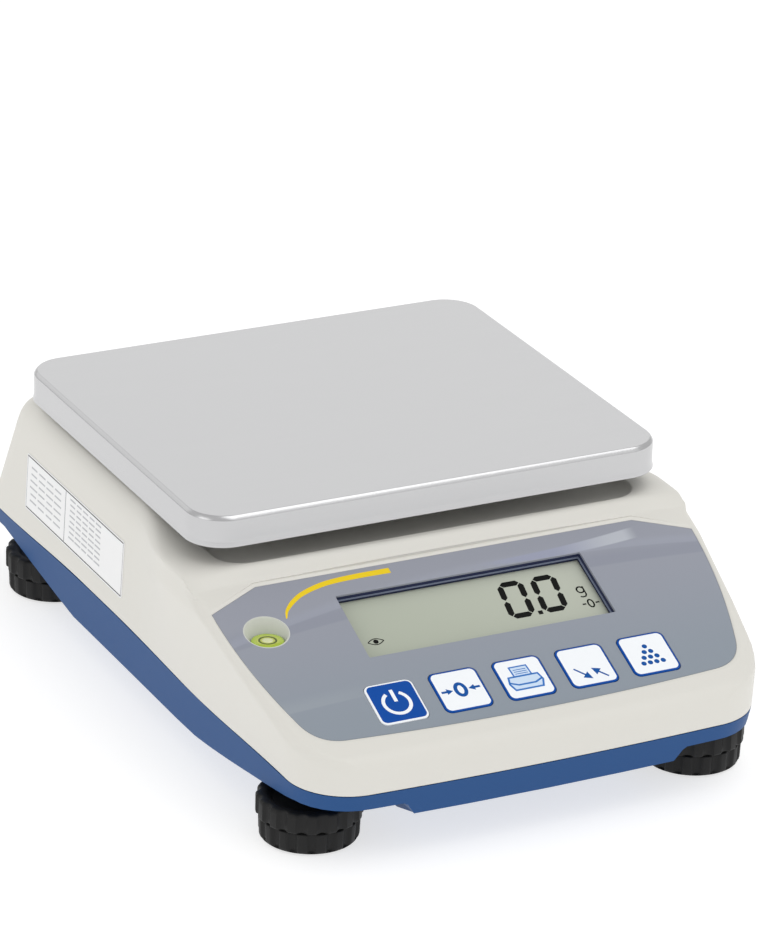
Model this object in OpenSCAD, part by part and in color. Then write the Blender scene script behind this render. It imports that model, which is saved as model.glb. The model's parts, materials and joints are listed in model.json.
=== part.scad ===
// Bench counting scale: a steel pan on a single-point load cell, in a two-part moulded housing
// with a sloping console. Millimetres, +Z up, -Y towards the user, Z = 0 on the bench.

/* [Body] */
// Half the length of the housing at its seam
body_half_l = 141; // [136:0.5:146]
// Half the width of the housing at its seam
body_half_w = 89.2; // [87:0.2:92]
// Height of the seam between the two housings
seam_z = 27.6; // [26:0.2:29]
// Rise of the seam halfway along the sides
seam_arch = 2.2; // [0:0.1:3]
// Height of the lip round the pan pocket
lip_z = 77; // [76:0.2:79]
// Radius of the front corners in plan
front_corner_r = 21.5; // [16:0.5:26]
// Radius of the rear corners in plan
rear_corner_r = 12; // [8:0.5:16]
// Bow of the front wall across the width
front_bow = 1.6; // [0:0.1:3]
// Lean of the side walls from vertical, in degrees
side_lean = 3; // [1:0.5:4]
// Lean of the front wall from vertical, in degrees
front_lean = 6; // [3:0.5:8]
// Lean of the rear wall from vertical, in degrees
rear_lean = 25.5; // [22:0.5:28]
// How far the console's cheeks stand out past the side walls
cheek_flare = 9.5; // [6:0.5:11]
// Radius of the console's front edge
console_edge_r = 8; // [5:0.5:9]
// Width of the rounding where the console meets its sides
console_side_round = 3.5; // [2:0.5:5]
// Wall thickness of both housings
wall = 2.5; // [2:0.1:3]

/* [Console] */
// Slope of the console, in degrees
slope = 22.75; // [20:0.25:24]
// Height of the console's plane at its reference line
console_z = 51.4; // [50:0.2:53]
// Distance from the housing's front edge back to the reference line
console_run = 31; // [29:0.5:33]
// Depth of the recess that takes the overlay
overlay_recess = 1.2; // [1:0.1:1.5]
// Thickness of the overlay
overlay_t = 0.9; // [0.7:0.1:1]
// Half the width of the overlay at its widest
overlay_half_w = 92.4; // [88:0.2:93]
// Half the width of the overlay's top edge
overlay_top_half_w = 72.7; // [66:0.5:76]
// Place of the overlay's top edge up the slope
overlay_top = 51.6; // [49:0.2:52]
// Place of the overlay's widest corners up the slope
overlay_vertex = 42.8; // [38:0.2:45]
// Place of the overlay's lowest point, below the reference line
overlay_bottom = 23; // [21:0.5:24]

/* [Display and keys] */
// Width of the display window
window_w = 94.2; // [88:0.2:98]
// Height of the display window along the slope
window_h = 29.2; // [26:0.2:31]
// Middle of the display window up the slope
window_v = 26.7; // [26:0.1:28]
// Depth of the display glass below the console
glass_depth = 4.2; // [3.5:0.1:5]
// Side of a key
key_size = 18; // [15:0.2:19]
// Distance between key centres
key_pitch = 24; // [22:0.2:25]
// Sideways place of the middle key
key_centre = 1.5; // [-2:0.1:3]
// Middle of the key row below the reference line
key_row = 9; // [7:0.1:10]
// Corner radius of a key
key_corner_r = 2.6; // [1.5:0.1:4]
// Travel of a key
key_travel = 0.4; // [0.2:0.05:0.5]
// Gap round a key
key_gap = 0.15; // [0.1:0.01:0.25]
// Diameter of the bubble level's well
level_d = 14.6; // [12:0.2:16]
// Sideways place of the bubble level, left of the middle
level_x = 77; // [74:0.2:78]
// Place of the bubble level up the slope
level_v = 30.6; // [28:0.2:32]

/* [Pan] */
// Width of the pan
pan_w = 180; // [174:1:186]
// Distance from the housing's front edge back to the pan's front edge
pan_front = 85.3; // [84:0.1:88]
// Distance from the pan's rear edge back to the housing's rear edge
pan_back = 38.7; // [37:0.1:41]
// Height of the pan's top face
pan_top = 95; // [94:0.2:97]
// Height of the pan's rim
pan_rim = 11.4; // [9:0.2:12]
// Corner radius of the pan in plan
pan_corner_r = 14; // [10:0.5:20]
// Radius of the pan's top edge
pan_edge_r = 1.8; // [1.4:0.1:2.5]
// Thickness of the pan's sheet
pan_sheet = 1.2; // [0.8:0.1:1.3]
// Depth of the pocket under the pan
pocket_depth = 2.6; // [2:0.1:3]

/* [Feet] */
// Sideways distance of a foot from the middle
foot_x = 73.6; // [72:0.2:75]
// Distance of a foot's axis from the end of the housing
foot_inset = 31.5; // [31:0.5:34]
// Diameter of a foot's knurled knob
knob_d = 36.4; // [32:0.2:38]
// Height of a foot up to the top of its knob
knob_top = 15.8; // [14:0.2:16]
// Number of grooves round a knob
knob_grooves = 16; // [12:1:20]
// Thickness of the rubber sole
sole_t = 2.4; // [2:0.1:3]
// Diameter of the foot's threaded stud
stud_d = 8; // [6:0.5:8]

/* [Load cell] */
// Distance of the load cell's ends inside the pan's edges
cell_inset = 14; // [12:1:18]
// Width of the load cell
cell_w = 30; // [26:1:32]
// Height of the load cell
cell_h = 22; // [20:0.5:24]
// Height of the load cell's underside
cell_z = 24; // [22:0.5:25]

/* [Rear sockets] */
// Distance between the serial socket's two jack screws
jack_pitch = 25; // [24.5:0.1:25.5]
// Radius of the tapped hole in a jack screw
jack_r = 1.4; // [1.2:0.05:1.5]
// Width of the bay for the sockets
bay_w = 92; // [86:1:96]

/* [Fits] */
// Radial clearance of turning fits
run_fit = 0.06; // [0.03:0.01:0.09]
// Gap between pieces that are set side by side
side_gap = 0.3; // [0.2:0.05:0.4]

/* [Hidden] */

$fn = 48;
eps = 0.01;

// Places along the length, measured from the ends of the housing.
console_y = body_half_l - console_run;
foot_y = body_half_l - foot_inset;
pan_d = 2 * body_half_l - pan_front - pan_back;
pan_y = (pan_front - pan_back) / 2;
cell_l = pan_d - 2 * cell_inset;

// Console plane: height as a function of y, and its tilted frame (u across, v up the slope).
tan_slope = tan(slope);
function console_height(y) = console_z + (y + console_y) * tan_slope;
module on_console(u = 0, v = 0, depth = 0) {
    translate([0, -console_y, console_z])
        rotate([slope, 0, 0])
            translate([u, v, -depth])
                children();
}

// Front profile of the housing: wall, rounded edge, console plane, step up to the lip.
wall_y0 = -body_half_l;
tan_front = tan(front_lean);
edge_cy = (wall_y0 + tan_front * (console_height(0) - console_edge_r / cos(slope) - seam_z)
    + console_edge_r / cos(front_lean)) / (1 - tan_front * tan_slope);
edge_cz = console_height(edge_cy) - console_edge_r / cos(slope);
edge_z1 = edge_cz + console_edge_r * sin(front_lean);
edge_z2 = edge_cz + console_edge_r * cos(slope);
step_margin = 1.8;
step_angle = 52;
step_y = -console_y + (overlay_top + step_margin) * cos(slope);
step_z = console_height(step_y);
lip_round = 1.5;
function wall_front(z) = wall_y0 + (z - seam_z) * tan_front;
function lip_curve(z, h) = z > lip_z - h ? h * (1 - sqrt(max(0, 1 - pow((z - lip_z + h) / h, 2)))) : 0;
function front_y(z) =
    z < edge_z1 ? wall_front(z) :
    z < edge_z2 ? edge_cy - sqrt(max(0, pow(console_edge_r, 2) - pow(z - edge_cz, 2))) :
    z < step_z ? -console_y + (z - console_z) / tan_slope :
    step_y + (z - step_z) / tan(step_angle) + lip_curve(z, lip_round);

// Rear profile: a leaning wall with a rounded top.
rear_round = 7;
function rear_y(z) = body_half_l - (z - seam_z) * tan(rear_lean) - 0.6 * lip_curve(z, rear_round);

// Half width at a place and height: plan outline, lean, cheeks beside the console, shoulder.
function ramp(a, b, x) = let (t = min(1, max(0, (x - a) / (b - a)))) t * t * (3 - 2 * t);
function corner_loss(d, r) = d < r ? r - sqrt(max(0, r * r - pow(r - max(0, d), 2))) : 0;
front_taper = 1.9;
cheek_z = 66;
shoulder_h = 10.5;
ledge_h = 2.6;
lip_half_w = 83;
lip_corner_r = 10;
cheek_start = 120;
cheek_full = 68;
function cheek(y) = ramp(cheek_start - console_y, cheek_full - console_y, y)
    * (1 - 0.3 * ramp(10 - console_y, -20 - console_y, y));
function cheek_rise(z) = min(1, max(0, (z - seam_z) / (cheek_z - seam_z)));
function side_w(y, z) =
    body_half_w - front_taper * ramp(70 - console_y, -8 - console_y, y)
    - (z - seam_z) * tan(side_lean)
    + cheek_flare * cheek(y) * cheek_rise(z);
function shoulder(y, z) =
    let (h = shoulder_h + (ledge_h - shoulder_h) * cheek(y), t = (z - lip_z + h) / h)
    t > 0 ? (side_w(y, lip_z) - lip_half_w) * (1 - sqrt(max(0, 1 - t * t))) : 0;
function lip_corner(y, z) =
    let (reach = 1.15 * ((z - console_z) / tan_slope - console_y - front_y(z)), d = y - front_y(z),
        w = side_w(y, z) - shoulder(y, z), start = lip_half_w - lip_corner_r)
    z > step_z && d < reach
        ? (w - start) * ramp(step_z, step_z + 0.8, z) * (1 - sqrt(max(0, 1 - pow(1 - max(0, d) / reach, 2))))
        : 0;
function half_w(y, z) =
    side_w(y, z) - shoulder(y, z) - lip_corner(y, z)
    - corner_loss(y - wall_front(min(z, cheek_z)), front_corner_r)
    - corner_loss(rear_y(z) - y, rear_corner_r);
function edge_loss(y, z) = let (k = ramp(edge_z1 - 1, edge_z2, z) * (1 - ramp(step_z - 2, step_z + 1, z)),
    r = console_side_round * k, len = max(0.5, r / sin(slope)))
    r * (1 - sqrt(max(0, 1 - pow(1 - min(1, (y - front_y(z)) / len), 2))));

// One ring of the housing: right side from front to back, then mirrored.
front_steps = 8;
side_steps = 9;
rear_steps = 6;
front_places = [-0.94, -0.87, -0.78, -0.45, 0, 0.45, 0.78, 0.87, 0.94];
function side_ys(y0, y1) = concat(
    [for (i = [0:front_steps]) y0 + front_corner_r * (1 - cos(90 * i / front_steps))],
    [for (i = [1:side_steps]) let (a = y0 + front_corner_r, b = y1 - rear_corner_r)
        a + (b - a) * i / side_steps],
    [for (i = [1:rear_steps]) y1 - rear_corner_r + rear_corner_r * sin(90 * i / rear_steps)]);
function seam_rise(y, z) = let (fade = 1 - ramp(seam_z, seam_z + 14, abs(z - seam_z) + seam_z))
    seam_arch * fade * ramp(35 - console_y, 20, y) * (1 - ramp(foot_y - 59.5, foot_y + 15.5, y));
function ring(z, inset = 0, at = undef, y0 = undef) =
    let (ya = (is_undef(y0) ? front_y(z) : y0) + inset,
        yb = rear_y(z) - inset,
        zz = is_undef(at) ? z : at,
        ys = side_ys(ya, yb),
        n = len(ys),
        right = [for (y = ys) [half_w(min(max(y - inset * (y < 0 ? 1 : -1), front_y(z)), rear_y(z)), z)
            - edge_loss(max(y - inset, front_y(z)), z) - inset, y, zz + seam_rise(y, z)]],
        x0 = right[0][0], x1 = right[n - 1][0],
        front = [for (t = front_places) [x0 * t, ya - front_bow * (1 - t * t), zz + seam_rise(ya, z)]],
        rear = [for (i = [1:3]) [x1 - 2 * x1 * i / 4, yb, zz + seam_rise(yb, z)]])
    concat(front, right, rear, [for (i = [n - 1:-1:0]) [-right[i][0], right[i][1], right[i][2]]]);

// Solid through a stack of rings, each with the same number of points, counted anticlockwise.
function quad(a, b, c, d) = [[a, b, c], [a, c, d]];
// Strip of the top from one side to its mirror image, so that a bent rim keeps its height all across.
front_mid = floor(len(front_places) / 2);
function strip(i, n, base) = let (a = base + i % n, b = base + (i + 1) % n,
    c = base + (2 * front_mid - i + n) % n, d = base + (2 * front_mid - 1 - i + n) % n)
    a == c ? [[a, d, b]] : quad(a, c, d, b);
module loft(rings, bent_top = false) {
    n = len(rings[0]);
    k = len(rings);
    polyhedron(
        points = [for (r = rings) each r],
        faces = concat(
            [[for (i = [0:n - 1]) i]],
            [for (j = [0:k - 2], i = [0:n - 1]) let (m = (i + 1) % n)
                each quad(j * n + i, j * n + n + i, j * n + n + m, j * n + m)],
            bent_top ? concat([for (i = [front_mid:front_mid + n / 2 - 4]) each strip(i, n, (k - 1) * n)],
                    [[for (s = [3:-1:-3]) (k - 1) * n + n / 2 + front_mid + s]])
                : [[for (i = [n - 1:-1:0]) (k - 1) * n + i]]),
        convexity = 8);
}
// Open shell between an outer and an inner stack of rings, joined round the lower rim.
module lofted_shell(outer, inner) {
    n = len(outer[0]);
    k = len(outer);
    q = len(inner);
    polyhedron(
        points = concat([for (r = outer) each r], [for (r = inner) each r]),
        faces = concat(
            [for (j = [0:k - 2], i = [0:n - 1]) let (m = (i + 1) % n)
                each quad(j * n + i, j * n + n + i, j * n + n + m, j * n + m)],
            [[for (i = [n - 1:-1:0]) (k - 1) * n + i]],
            [for (j = [k:k + q - 2], i = [0:n - 1]) let (m = (i + 1) % n)
                each quad(j * n + m, j * n + n + m, j * n + n + i, j * n + i)],
            [[for (i = [0:n - 1]) (k + q - 1) * n + i]],
            [for (i = [0:n - 1]) let (m = (i + 1) % n) each quad(i, m, k * n + m, k * n + i)]),
        convexity = 10);
}

// Rectangle with true round corners.
module rounded(w, d, r) {
    square([w - 2 * r, d], center = true);
    square([w, d - 2 * r], center = true);
    for (sx = [-1, 1], sy = [-1, 1])
        translate([sx * (w / 2 - r), sy * (d / 2 - r)])
            circle(r = r);
}
module screw(head_r, head_h, shank_r, length) {
    cylinder(r = head_r, h = head_h);
    translate([0, 0, -length])
        cylinder(r = shank_r, h = length + eps);
}
corners = [for (sy = [-1, 1], sx = [-1, 1]) [sx, sy]];

// Pan and what carries it.
pad_t = 3;
pad_x = pan_w / 2 - 28;
pad_y = pan_d / 2 - 27;
arm_t = 6;
arm_z = pan_top - pan_sheet - pad_t - arm_t;
column_r = 24;
bridge_t = 5;
spacer_h = 8;
bridge_z = cell_z + cell_h + spacer_h;
cell_front = pan_y - cell_l / 2;
cell_bolt = 12;
m6_r = 3;

module weighing_pan() {
    n = 8;
    function pan_ring(inset, z) = [for (c = [[1, -1, 270], [1, 1, 0], [-1, 1, 90], [-1, -1, 180]], i = [0:n])
        let (a = c[2] + 90 * i / n, r = pan_corner_r - inset)
        [c[0] * (pan_w / 2 - pan_corner_r) + r * cos(a),
            pan_y + c[1] * (pan_d / 2 - pan_corner_r) + r * sin(a), z]];
    color([0.8, 0.8, 0.8])
        difference() {
            loft(concat([pan_ring(0, pan_top - pan_rim)],
                [for (a = [0:18:90])
                    pan_ring(pan_edge_r * (1 - cos(a)), pan_top - pan_edge_r * (1 - sin(a)))]));
            translate([0, pan_y, pan_top - pan_rim - 1])
                linear_extrude(pan_rim - pan_sheet + 1)
                    rounded(pan_w - 2 * pan_sheet, pan_d - 2 * pan_sheet, pan_corner_r - pan_sheet);
        }
}
module pan_support() {
    arm_w = 15;
    arm_l = norm([pad_x, pad_y]);
    color([0.72, 0.73, 0.75])
        difference() {
            translate([0, pan_y, arm_z]) {
                cylinder(r = column_r, h = arm_t);
                for (a = [0, 180], s = [-1, 1])
                    rotate([0, 0, a + s * atan2(pad_y, pad_x)]) {
                        translate([column_r - 6, -arm_w / 2, 0])
                            cube([arm_l - column_r + 6, arm_w, arm_t]);
                        translate([arm_l, 0, 0])
                            cylinder(r = arm_w / 2 + 1, h = arm_t);
                        translate([column_r - 4, -1.5, -4])
                            cube([arm_l - column_r - 3, 3, 5]);
                    }
            }
            for (s = [-1, 1])
                translate([0, pan_y + s * 12, arm_z - 1])
                    cylinder(r = m6_r + 0.3, h = arm_t + 2);
        }
}
module support_pads() {
    color([0.12, 0.12, 0.12])
        for (c = corners)
            translate([c[0] * pad_x, pan_y + c[1] * pad_y, arm_z + arm_t])
                difference() {
                    cylinder(r = 7, h = pad_t);
                    translate([0, 0, pad_t - 0.8])
                        cylinder(r = 3, h = 1);
                }
}
module support_bridge() {
    color([0.7, 0.71, 0.73])
        difference() {
            union() {
                translate([-25, cell_front, bridge_z])
                    cube([50, cell_l / 2 + 32, bridge_t]);
                translate([-cell_w / 2, cell_front, cell_z + cell_h])
                    cube([cell_w, 2 * cell_bolt + 4, spacer_h + eps]);
                translate([0, pan_y, bridge_z])
                    cylinder(r = column_r - 4 - side_gap, h = arm_z - bridge_z);
            }
            for (s = [-1, 1])
                translate([0, pan_y + s * 12, bridge_z + bridge_t + 6])
                    cylinder(r = m6_r, h = arm_z);
            for (i = [0, 1])
                translate([0, cell_front + 8 + i * cell_bolt, cell_z + cell_h - 1])
                    cylinder(r = m6_r + 0.3, h = spacer_h + bridge_t + 2);
        }
}
module bridge_screws() {
    color([0.55, 0.56, 0.58]) {
        for (s = [-1, 1])
            translate([0, pan_y + s * 12, arm_z + arm_t])
                screw(5, 2.4, m6_r - 0.1, arm_t + 14);
        for (i = [0, 1])
            translate([0, cell_front + 8 + i * cell_bolt, bridge_z + bridge_t])
                screw(5, 4, m6_r - 0.1, spacer_h + bridge_t + 8);
    }
}

// Single-point load cell: a bar with a binocular cut-out, fixed at the back, loaded at the front.
module load_cell() {
    hole_r = 7.5;
    hole_gap = 22;
    color([0.78, 0.79, 0.8])
        difference() {
            translate([-cell_w / 2, cell_front, cell_z])
                cube([cell_w, cell_l, cell_h]);
            for (s = [-1, 1])
                translate([-cell_w, pan_y + s * hole_gap / 2, cell_z + cell_h / 2])
                    rotate([0, 90, 0])
                        cylinder(r = hole_r, h = 2 * cell_w);
            translate([-cell_w, pan_y - hole_gap / 2, cell_z + cell_h / 2 - 3])
                cube([2 * cell_w, hole_gap, 6]);
            for (i = [0, 1]) {
                translate([0, cell_front + 8 + i * cell_bolt, cell_z + cell_h - 11])
                    cylinder(r = m6_r, h = 12);
                translate([0, cell_front + cell_l - 8 - i * cell_bolt, cell_z - 1])
                    cylinder(r = m6_r, h = 12);
            }
        }
}
floor_z = 10;
floor_t = 2.6;
inner_floor = floor_z + floor_t;
module cell_screws() {
    color([0.5, 0.51, 0.53])
        for (i = [0, 1])
            translate([0, cell_front + cell_l - 8 - i * cell_bolt, floor_z + 4])
                mirror([0, 0, 1])
                    screw(5, 3.4, m6_r - 0.1, cell_z - floor_z + 4);
}
stop_gap = 0.6;
module overload_stop() {
    color([0.55, 0.56, 0.58])
        translate([0, cell_front + 10, 0]) {
            translate([0, 0, inner_floor])
                cylinder(r = 3, h = cell_z - stop_gap - inner_floor);
            translate([0, 0, inner_floor + 4])
                cylinder(r = 5.5, h = 3.2, $fn = 6);
        }
}

// Tube of round section swept along a route of points.
function unit(v) = v / norm(v);
function route_dir(p, i) = unit(p[min(i + 1, len(p) - 1)] - p[max(i - 1, 0)]);
module swept_tube(p, r, sides = 8) {
    n = len(p);
    points = [for (i = [0:n - 1]) let (t = route_dir(p, i),
        a = unit(cross(t, abs(t[2]) < 0.9 ? [0, 0, 1] : [1, 0, 0])), b = cross(a, t))
        for (s = [0:sides - 1]) p[i] + r * (cos(360 * s / sides) * a + sin(360 * s / sides) * b)];
    polyhedron(points = points,
        faces = concat([[for (s = [sides - 1:-1:0]) s]],
            [for (i = [0:n - 2], s = [0:sides - 1]) let (m = (s + 1) % sides)
                each quad(i * sides + s, i * sides + m, (i + 1) * sides + m, (i + 1) * sides + s)],
            [[for (s = [0:sides - 1]) (n - 1) * sides + s]]));
}
lead_r = 2;
board_x = 19;
board_w = 30;
board_y = -20;
board_l = 84;
board_z = 19;
board_t = 1.6;
function arc_points(c, r, a0, a1, n) = [for (i = [0:n])
    let (a = a0 + (a1 - a0) * i / n)
    c + r * [cos(a), sin(a), 0]];
module cell_lead() {
    z = cell_z + 5;
    x0 = cell_w / 2 + side_gap;
    y0 = pan_y + cell_l / 2 - 26;
    color([0.2, 0.2, 0.21])
        swept_tube(concat([[x0, y0, z], [x0 + 2, y0, z]],
            arc_points([x0 + 3, y0 - 8, z], 8, 80, 0, 5),
            [[x0 + 11, y0 - 16, z - 1],
                [x0 + 11, board_y + board_l - 28, board_z + board_t + lead_r + 5]]), lead_r);
}

// Upper housing.
inner_top = lip_z - pocket_depth - wall;
function shell_z(z) = seam_z + (z - seam_z) * (lip_z - seam_z) / (inner_top - seam_z);
outer_levels = concat([seam_z, (seam_z + edge_z1) / 2, edge_z1],
    [for (i = [1:4]) edge_cz + console_edge_r * sin(front_lean + (90 - slope - front_lean) * i / 5)],
    [edge_z2],
    [for (i = [1:6]) edge_z2 + (cheek_z - edge_z2) * i / 6],
    [cheek_z + 3, step_z, step_z + 1.2, lip_z - 2.6, lip_z - 1.5, lip_z - 0.6, lip_z - 0.15, lip_z]);
inner_levels = [seam_z, 33, 37, 41, 45, 52, 60, 66, inner_top - 1.2, inner_top];
pocket_w = pan_w - 19;
pocket_d = pan_d - 1.5;
throat_r = 32;
collar_h = 4;
bay_z0 = 34;
bay_z1 = 60;
bay_y = body_half_l - 20;
boss_r = 4.5;
boss_bore = 1.6;
boss_places = [[44, 10 - body_half_l], [80, -2], [58, body_half_l - 24]];
bay_wall = 2.2;
post_places = [[-60, 46], [60, 46], [-60, -14], [60, -14]];
board_depth = glass_depth + 5;
module overlay_outline(grow = 0) {
    side = [for (i = [0:6]) let (v = -9.7 + (overlay_vertex + 9.7) * i / 6, d = overlay_vertex - v)
        [overlay_half_w - 0.03 * d - 0.0027 * d * d, v]];
    p0 = [70, -overlay_bottom + 2.3];
    p1 = [80.4, -overlay_bottom + 3];
    p2 = side[0];
    corner = [for (i = [1:6]) let (t = i / 7) pow(1 - t, 2) * p0 + 2 * t * (1 - t) * p1 + t * t * p2];
    base = [for (i = [0:6]) let (x = 70 * i / 6) [x, -overlay_bottom + 2.3 * pow(x / 70, 2)]];
    right = concat(base, corner, side, [[overlay_top_half_w, overlay_top]]);
    n = len(right);
    k = 1 + grow / overlay_half_w;
    scale([k, k * (1 + grow * 0.015)])
        polygon(concat(right, [for (i = [n - 1:-1:1]) [-right[i][0], right[i][1]]]));
}
module key_places() {
    for (i = [0:4])
        on_console(key_centre + (i - 2) * key_pitch, -key_row)
            children();
}
level_y = -console_y + level_v * cos(slope);
level_z = console_height(level_y);
level_seat = level_z - 3.6 - level_d / 2 * tan_slope;
module upper_housing() {
    rear_edge = rear_y(bay_z0 - bay_wall) - 0.6;
    rear_top = rear_y(bay_z1 + bay_wall) - 0.6;
    color([0.85, 0.84, 0.81])
        difference() {
            union() {
                lofted_shell([for (z = outer_levels) ring(z)],
                    [for (z = inner_levels) ring(shell_z(z), wall, z)]);
                translate([0, pan_y, inner_top - 6])
                    cylinder(r = throat_r + wall, h = 6 + wall + collar_h);
                for (p = boss_places, s = [-1, 1]) {
                    top = p[1] < -60 ? console_height(p[1]) - 1.5 : inner_top + 1;
                    h = p[1] > pan_y + pocket_d / 2 ? inner_top - 6 : top;
                    translate([s * p[0], p[1], seam_z + 3])
                        cylinder(r = boss_r, h = h - seam_z - 3);
                }
                for (p = post_places)
                    on_console(p[0], p[1], board_depth)
                        cylinder(r = 3, h = board_depth - 1.4);
                translate([-bay_w / 2 - bay_wall, 0, 0])
                    rotate([90, 0, 90])
                        linear_extrude(bay_w + 2 * bay_wall)
                            polygon([[bay_y - bay_wall, bay_z0 - bay_wall], [rear_edge, bay_z0 - bay_wall],
                                [rear_top, bay_z1 + bay_wall], [bay_y - bay_wall, bay_z1 + bay_wall]]);
                translate([-level_x, level_y, level_seat - 4])
                    cylinder(r = level_d / 2 + 1.8, h = level_z - level_seat + 1);
            }
            translate([0, pan_y, lip_z - pocket_depth])
                linear_extrude(pocket_depth + collar_h + 2)
                    difference() {
                        rounded(pocket_w, pocket_d, 10);
                        circle(r = throat_r + wall);
                    }
            translate([0, pan_y, inner_top - 10])
                cylinder(r = throat_r, h = 30);
            on_console(0, 0, overlay_recess)
                linear_extrude(8)
                    overlay_outline(0.35);
            on_console(0, window_v, 20)
                linear_extrude(30)
                    square([window_w + 2.4, window_h + 2.4], center = true);
            key_places() {
                translate([0, 0, -2.2])
                    linear_extrude(6)
                        rounded(key_size + 2 * key_gap, key_size + 2 * key_gap, key_corner_r);
                translate([0, 0, -20])
                    cylinder(r = 3.6, h = 25);
            }
            translate([-level_x, level_y, level_seat])
                cylinder(r = level_d / 2, h = 30);
            translate([-level_x, level_y, level_seat - 10])
                cylinder(r = 3, h = 12);
            translate([-bay_w / 2, bay_y, bay_z0])
                cube([bay_w, 40, bay_z1 - bay_z0]);
            translate([serial_x, bay_y - 10, serial_z])
                rotate([-90, 0, 0])
                    linear_extrude(20)
                        square([20.6, 12.6], center = true);
            for (s = [-1, 1])
                translate([serial_x + s * jack_pitch / 2, bay_y - 10, serial_z])
                    rotate([-90, 0, 0])
                        cylinder(r = 1.7, h = 20);
            translate([power_x, bay_y - 10, serial_z])
                rotate([-90, 0, 0])
                    cylinder(r = power_r + 0.1, h = 20);
            for (p = boss_places, s = [-1, 1])
                translate([s * p[0], p[1], seam_z])
                    cylinder(r = boss_bore, h = 11);
        }
}

// Lower housing.
recess_z = 21.7;
front_edge_z = 16.6;
low_front = body_half_l - 21;
function low_y(z) = z < front_edge_z
    ? -low_front - (body_half_l - 2.6 - low_front) * (z - floor_z) / (front_edge_z - floor_z)
    : wall_y0 + 2.6 * (seam_z - z) / (seam_z - front_edge_z);
function low_inset(z) = 1.6 * (seam_z - z) / (seam_z - floor_z)
    + (z < floor_z + 1.2 ? 1.2 - (z - floor_z) : 0);
parting = 0.1;
function low_ring(z) = let (t = low_inset(z), y0 = low_y(z))
    [for (p = ring(seam_z, 0, z)) let (k = (body_half_l + p[1]) / (2 * body_half_l))
        [p[0] * (1 - t / body_half_w), p[1] > 0 ? p[1] - t : y0 + (p[1] - wall_y0) * (-y0 / body_half_l),
            z + (p[2] - z) * (z - floor_z) / (seam_z - floor_z)]];
module cavity_outline(inset) {
    polygon([for (p = ring(seam_z, inset)) [p[0], p[1]]]);
}
recess_x = 53;
recess_front = 84.5 - foot_y;
recess_rear = foot_y - 61.5;
cell_r = 7.1;
cell_len = 50;
cell_gap = 0.3;
battery_x = 3 * (2 * cell_r + cell_gap) + 0.6;
battery_mid = 67.5 - body_half_l;
battery_front = battery_mid - cell_len / 2 - 1;
battery_rear = battery_mid + cell_len / 2 + 1;
battery_top = 31;
hinge_y = battery_rear - 3;
hinge_z = floor_z + 2.6;
hinge_pin_r = 1.1;
hinge_r = 2;
bay_shell = 1.6;
cover_x = battery_x - 6;
insert_r = 5.5;
insert_top = 34;
foot_boss_r = 9;
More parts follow.
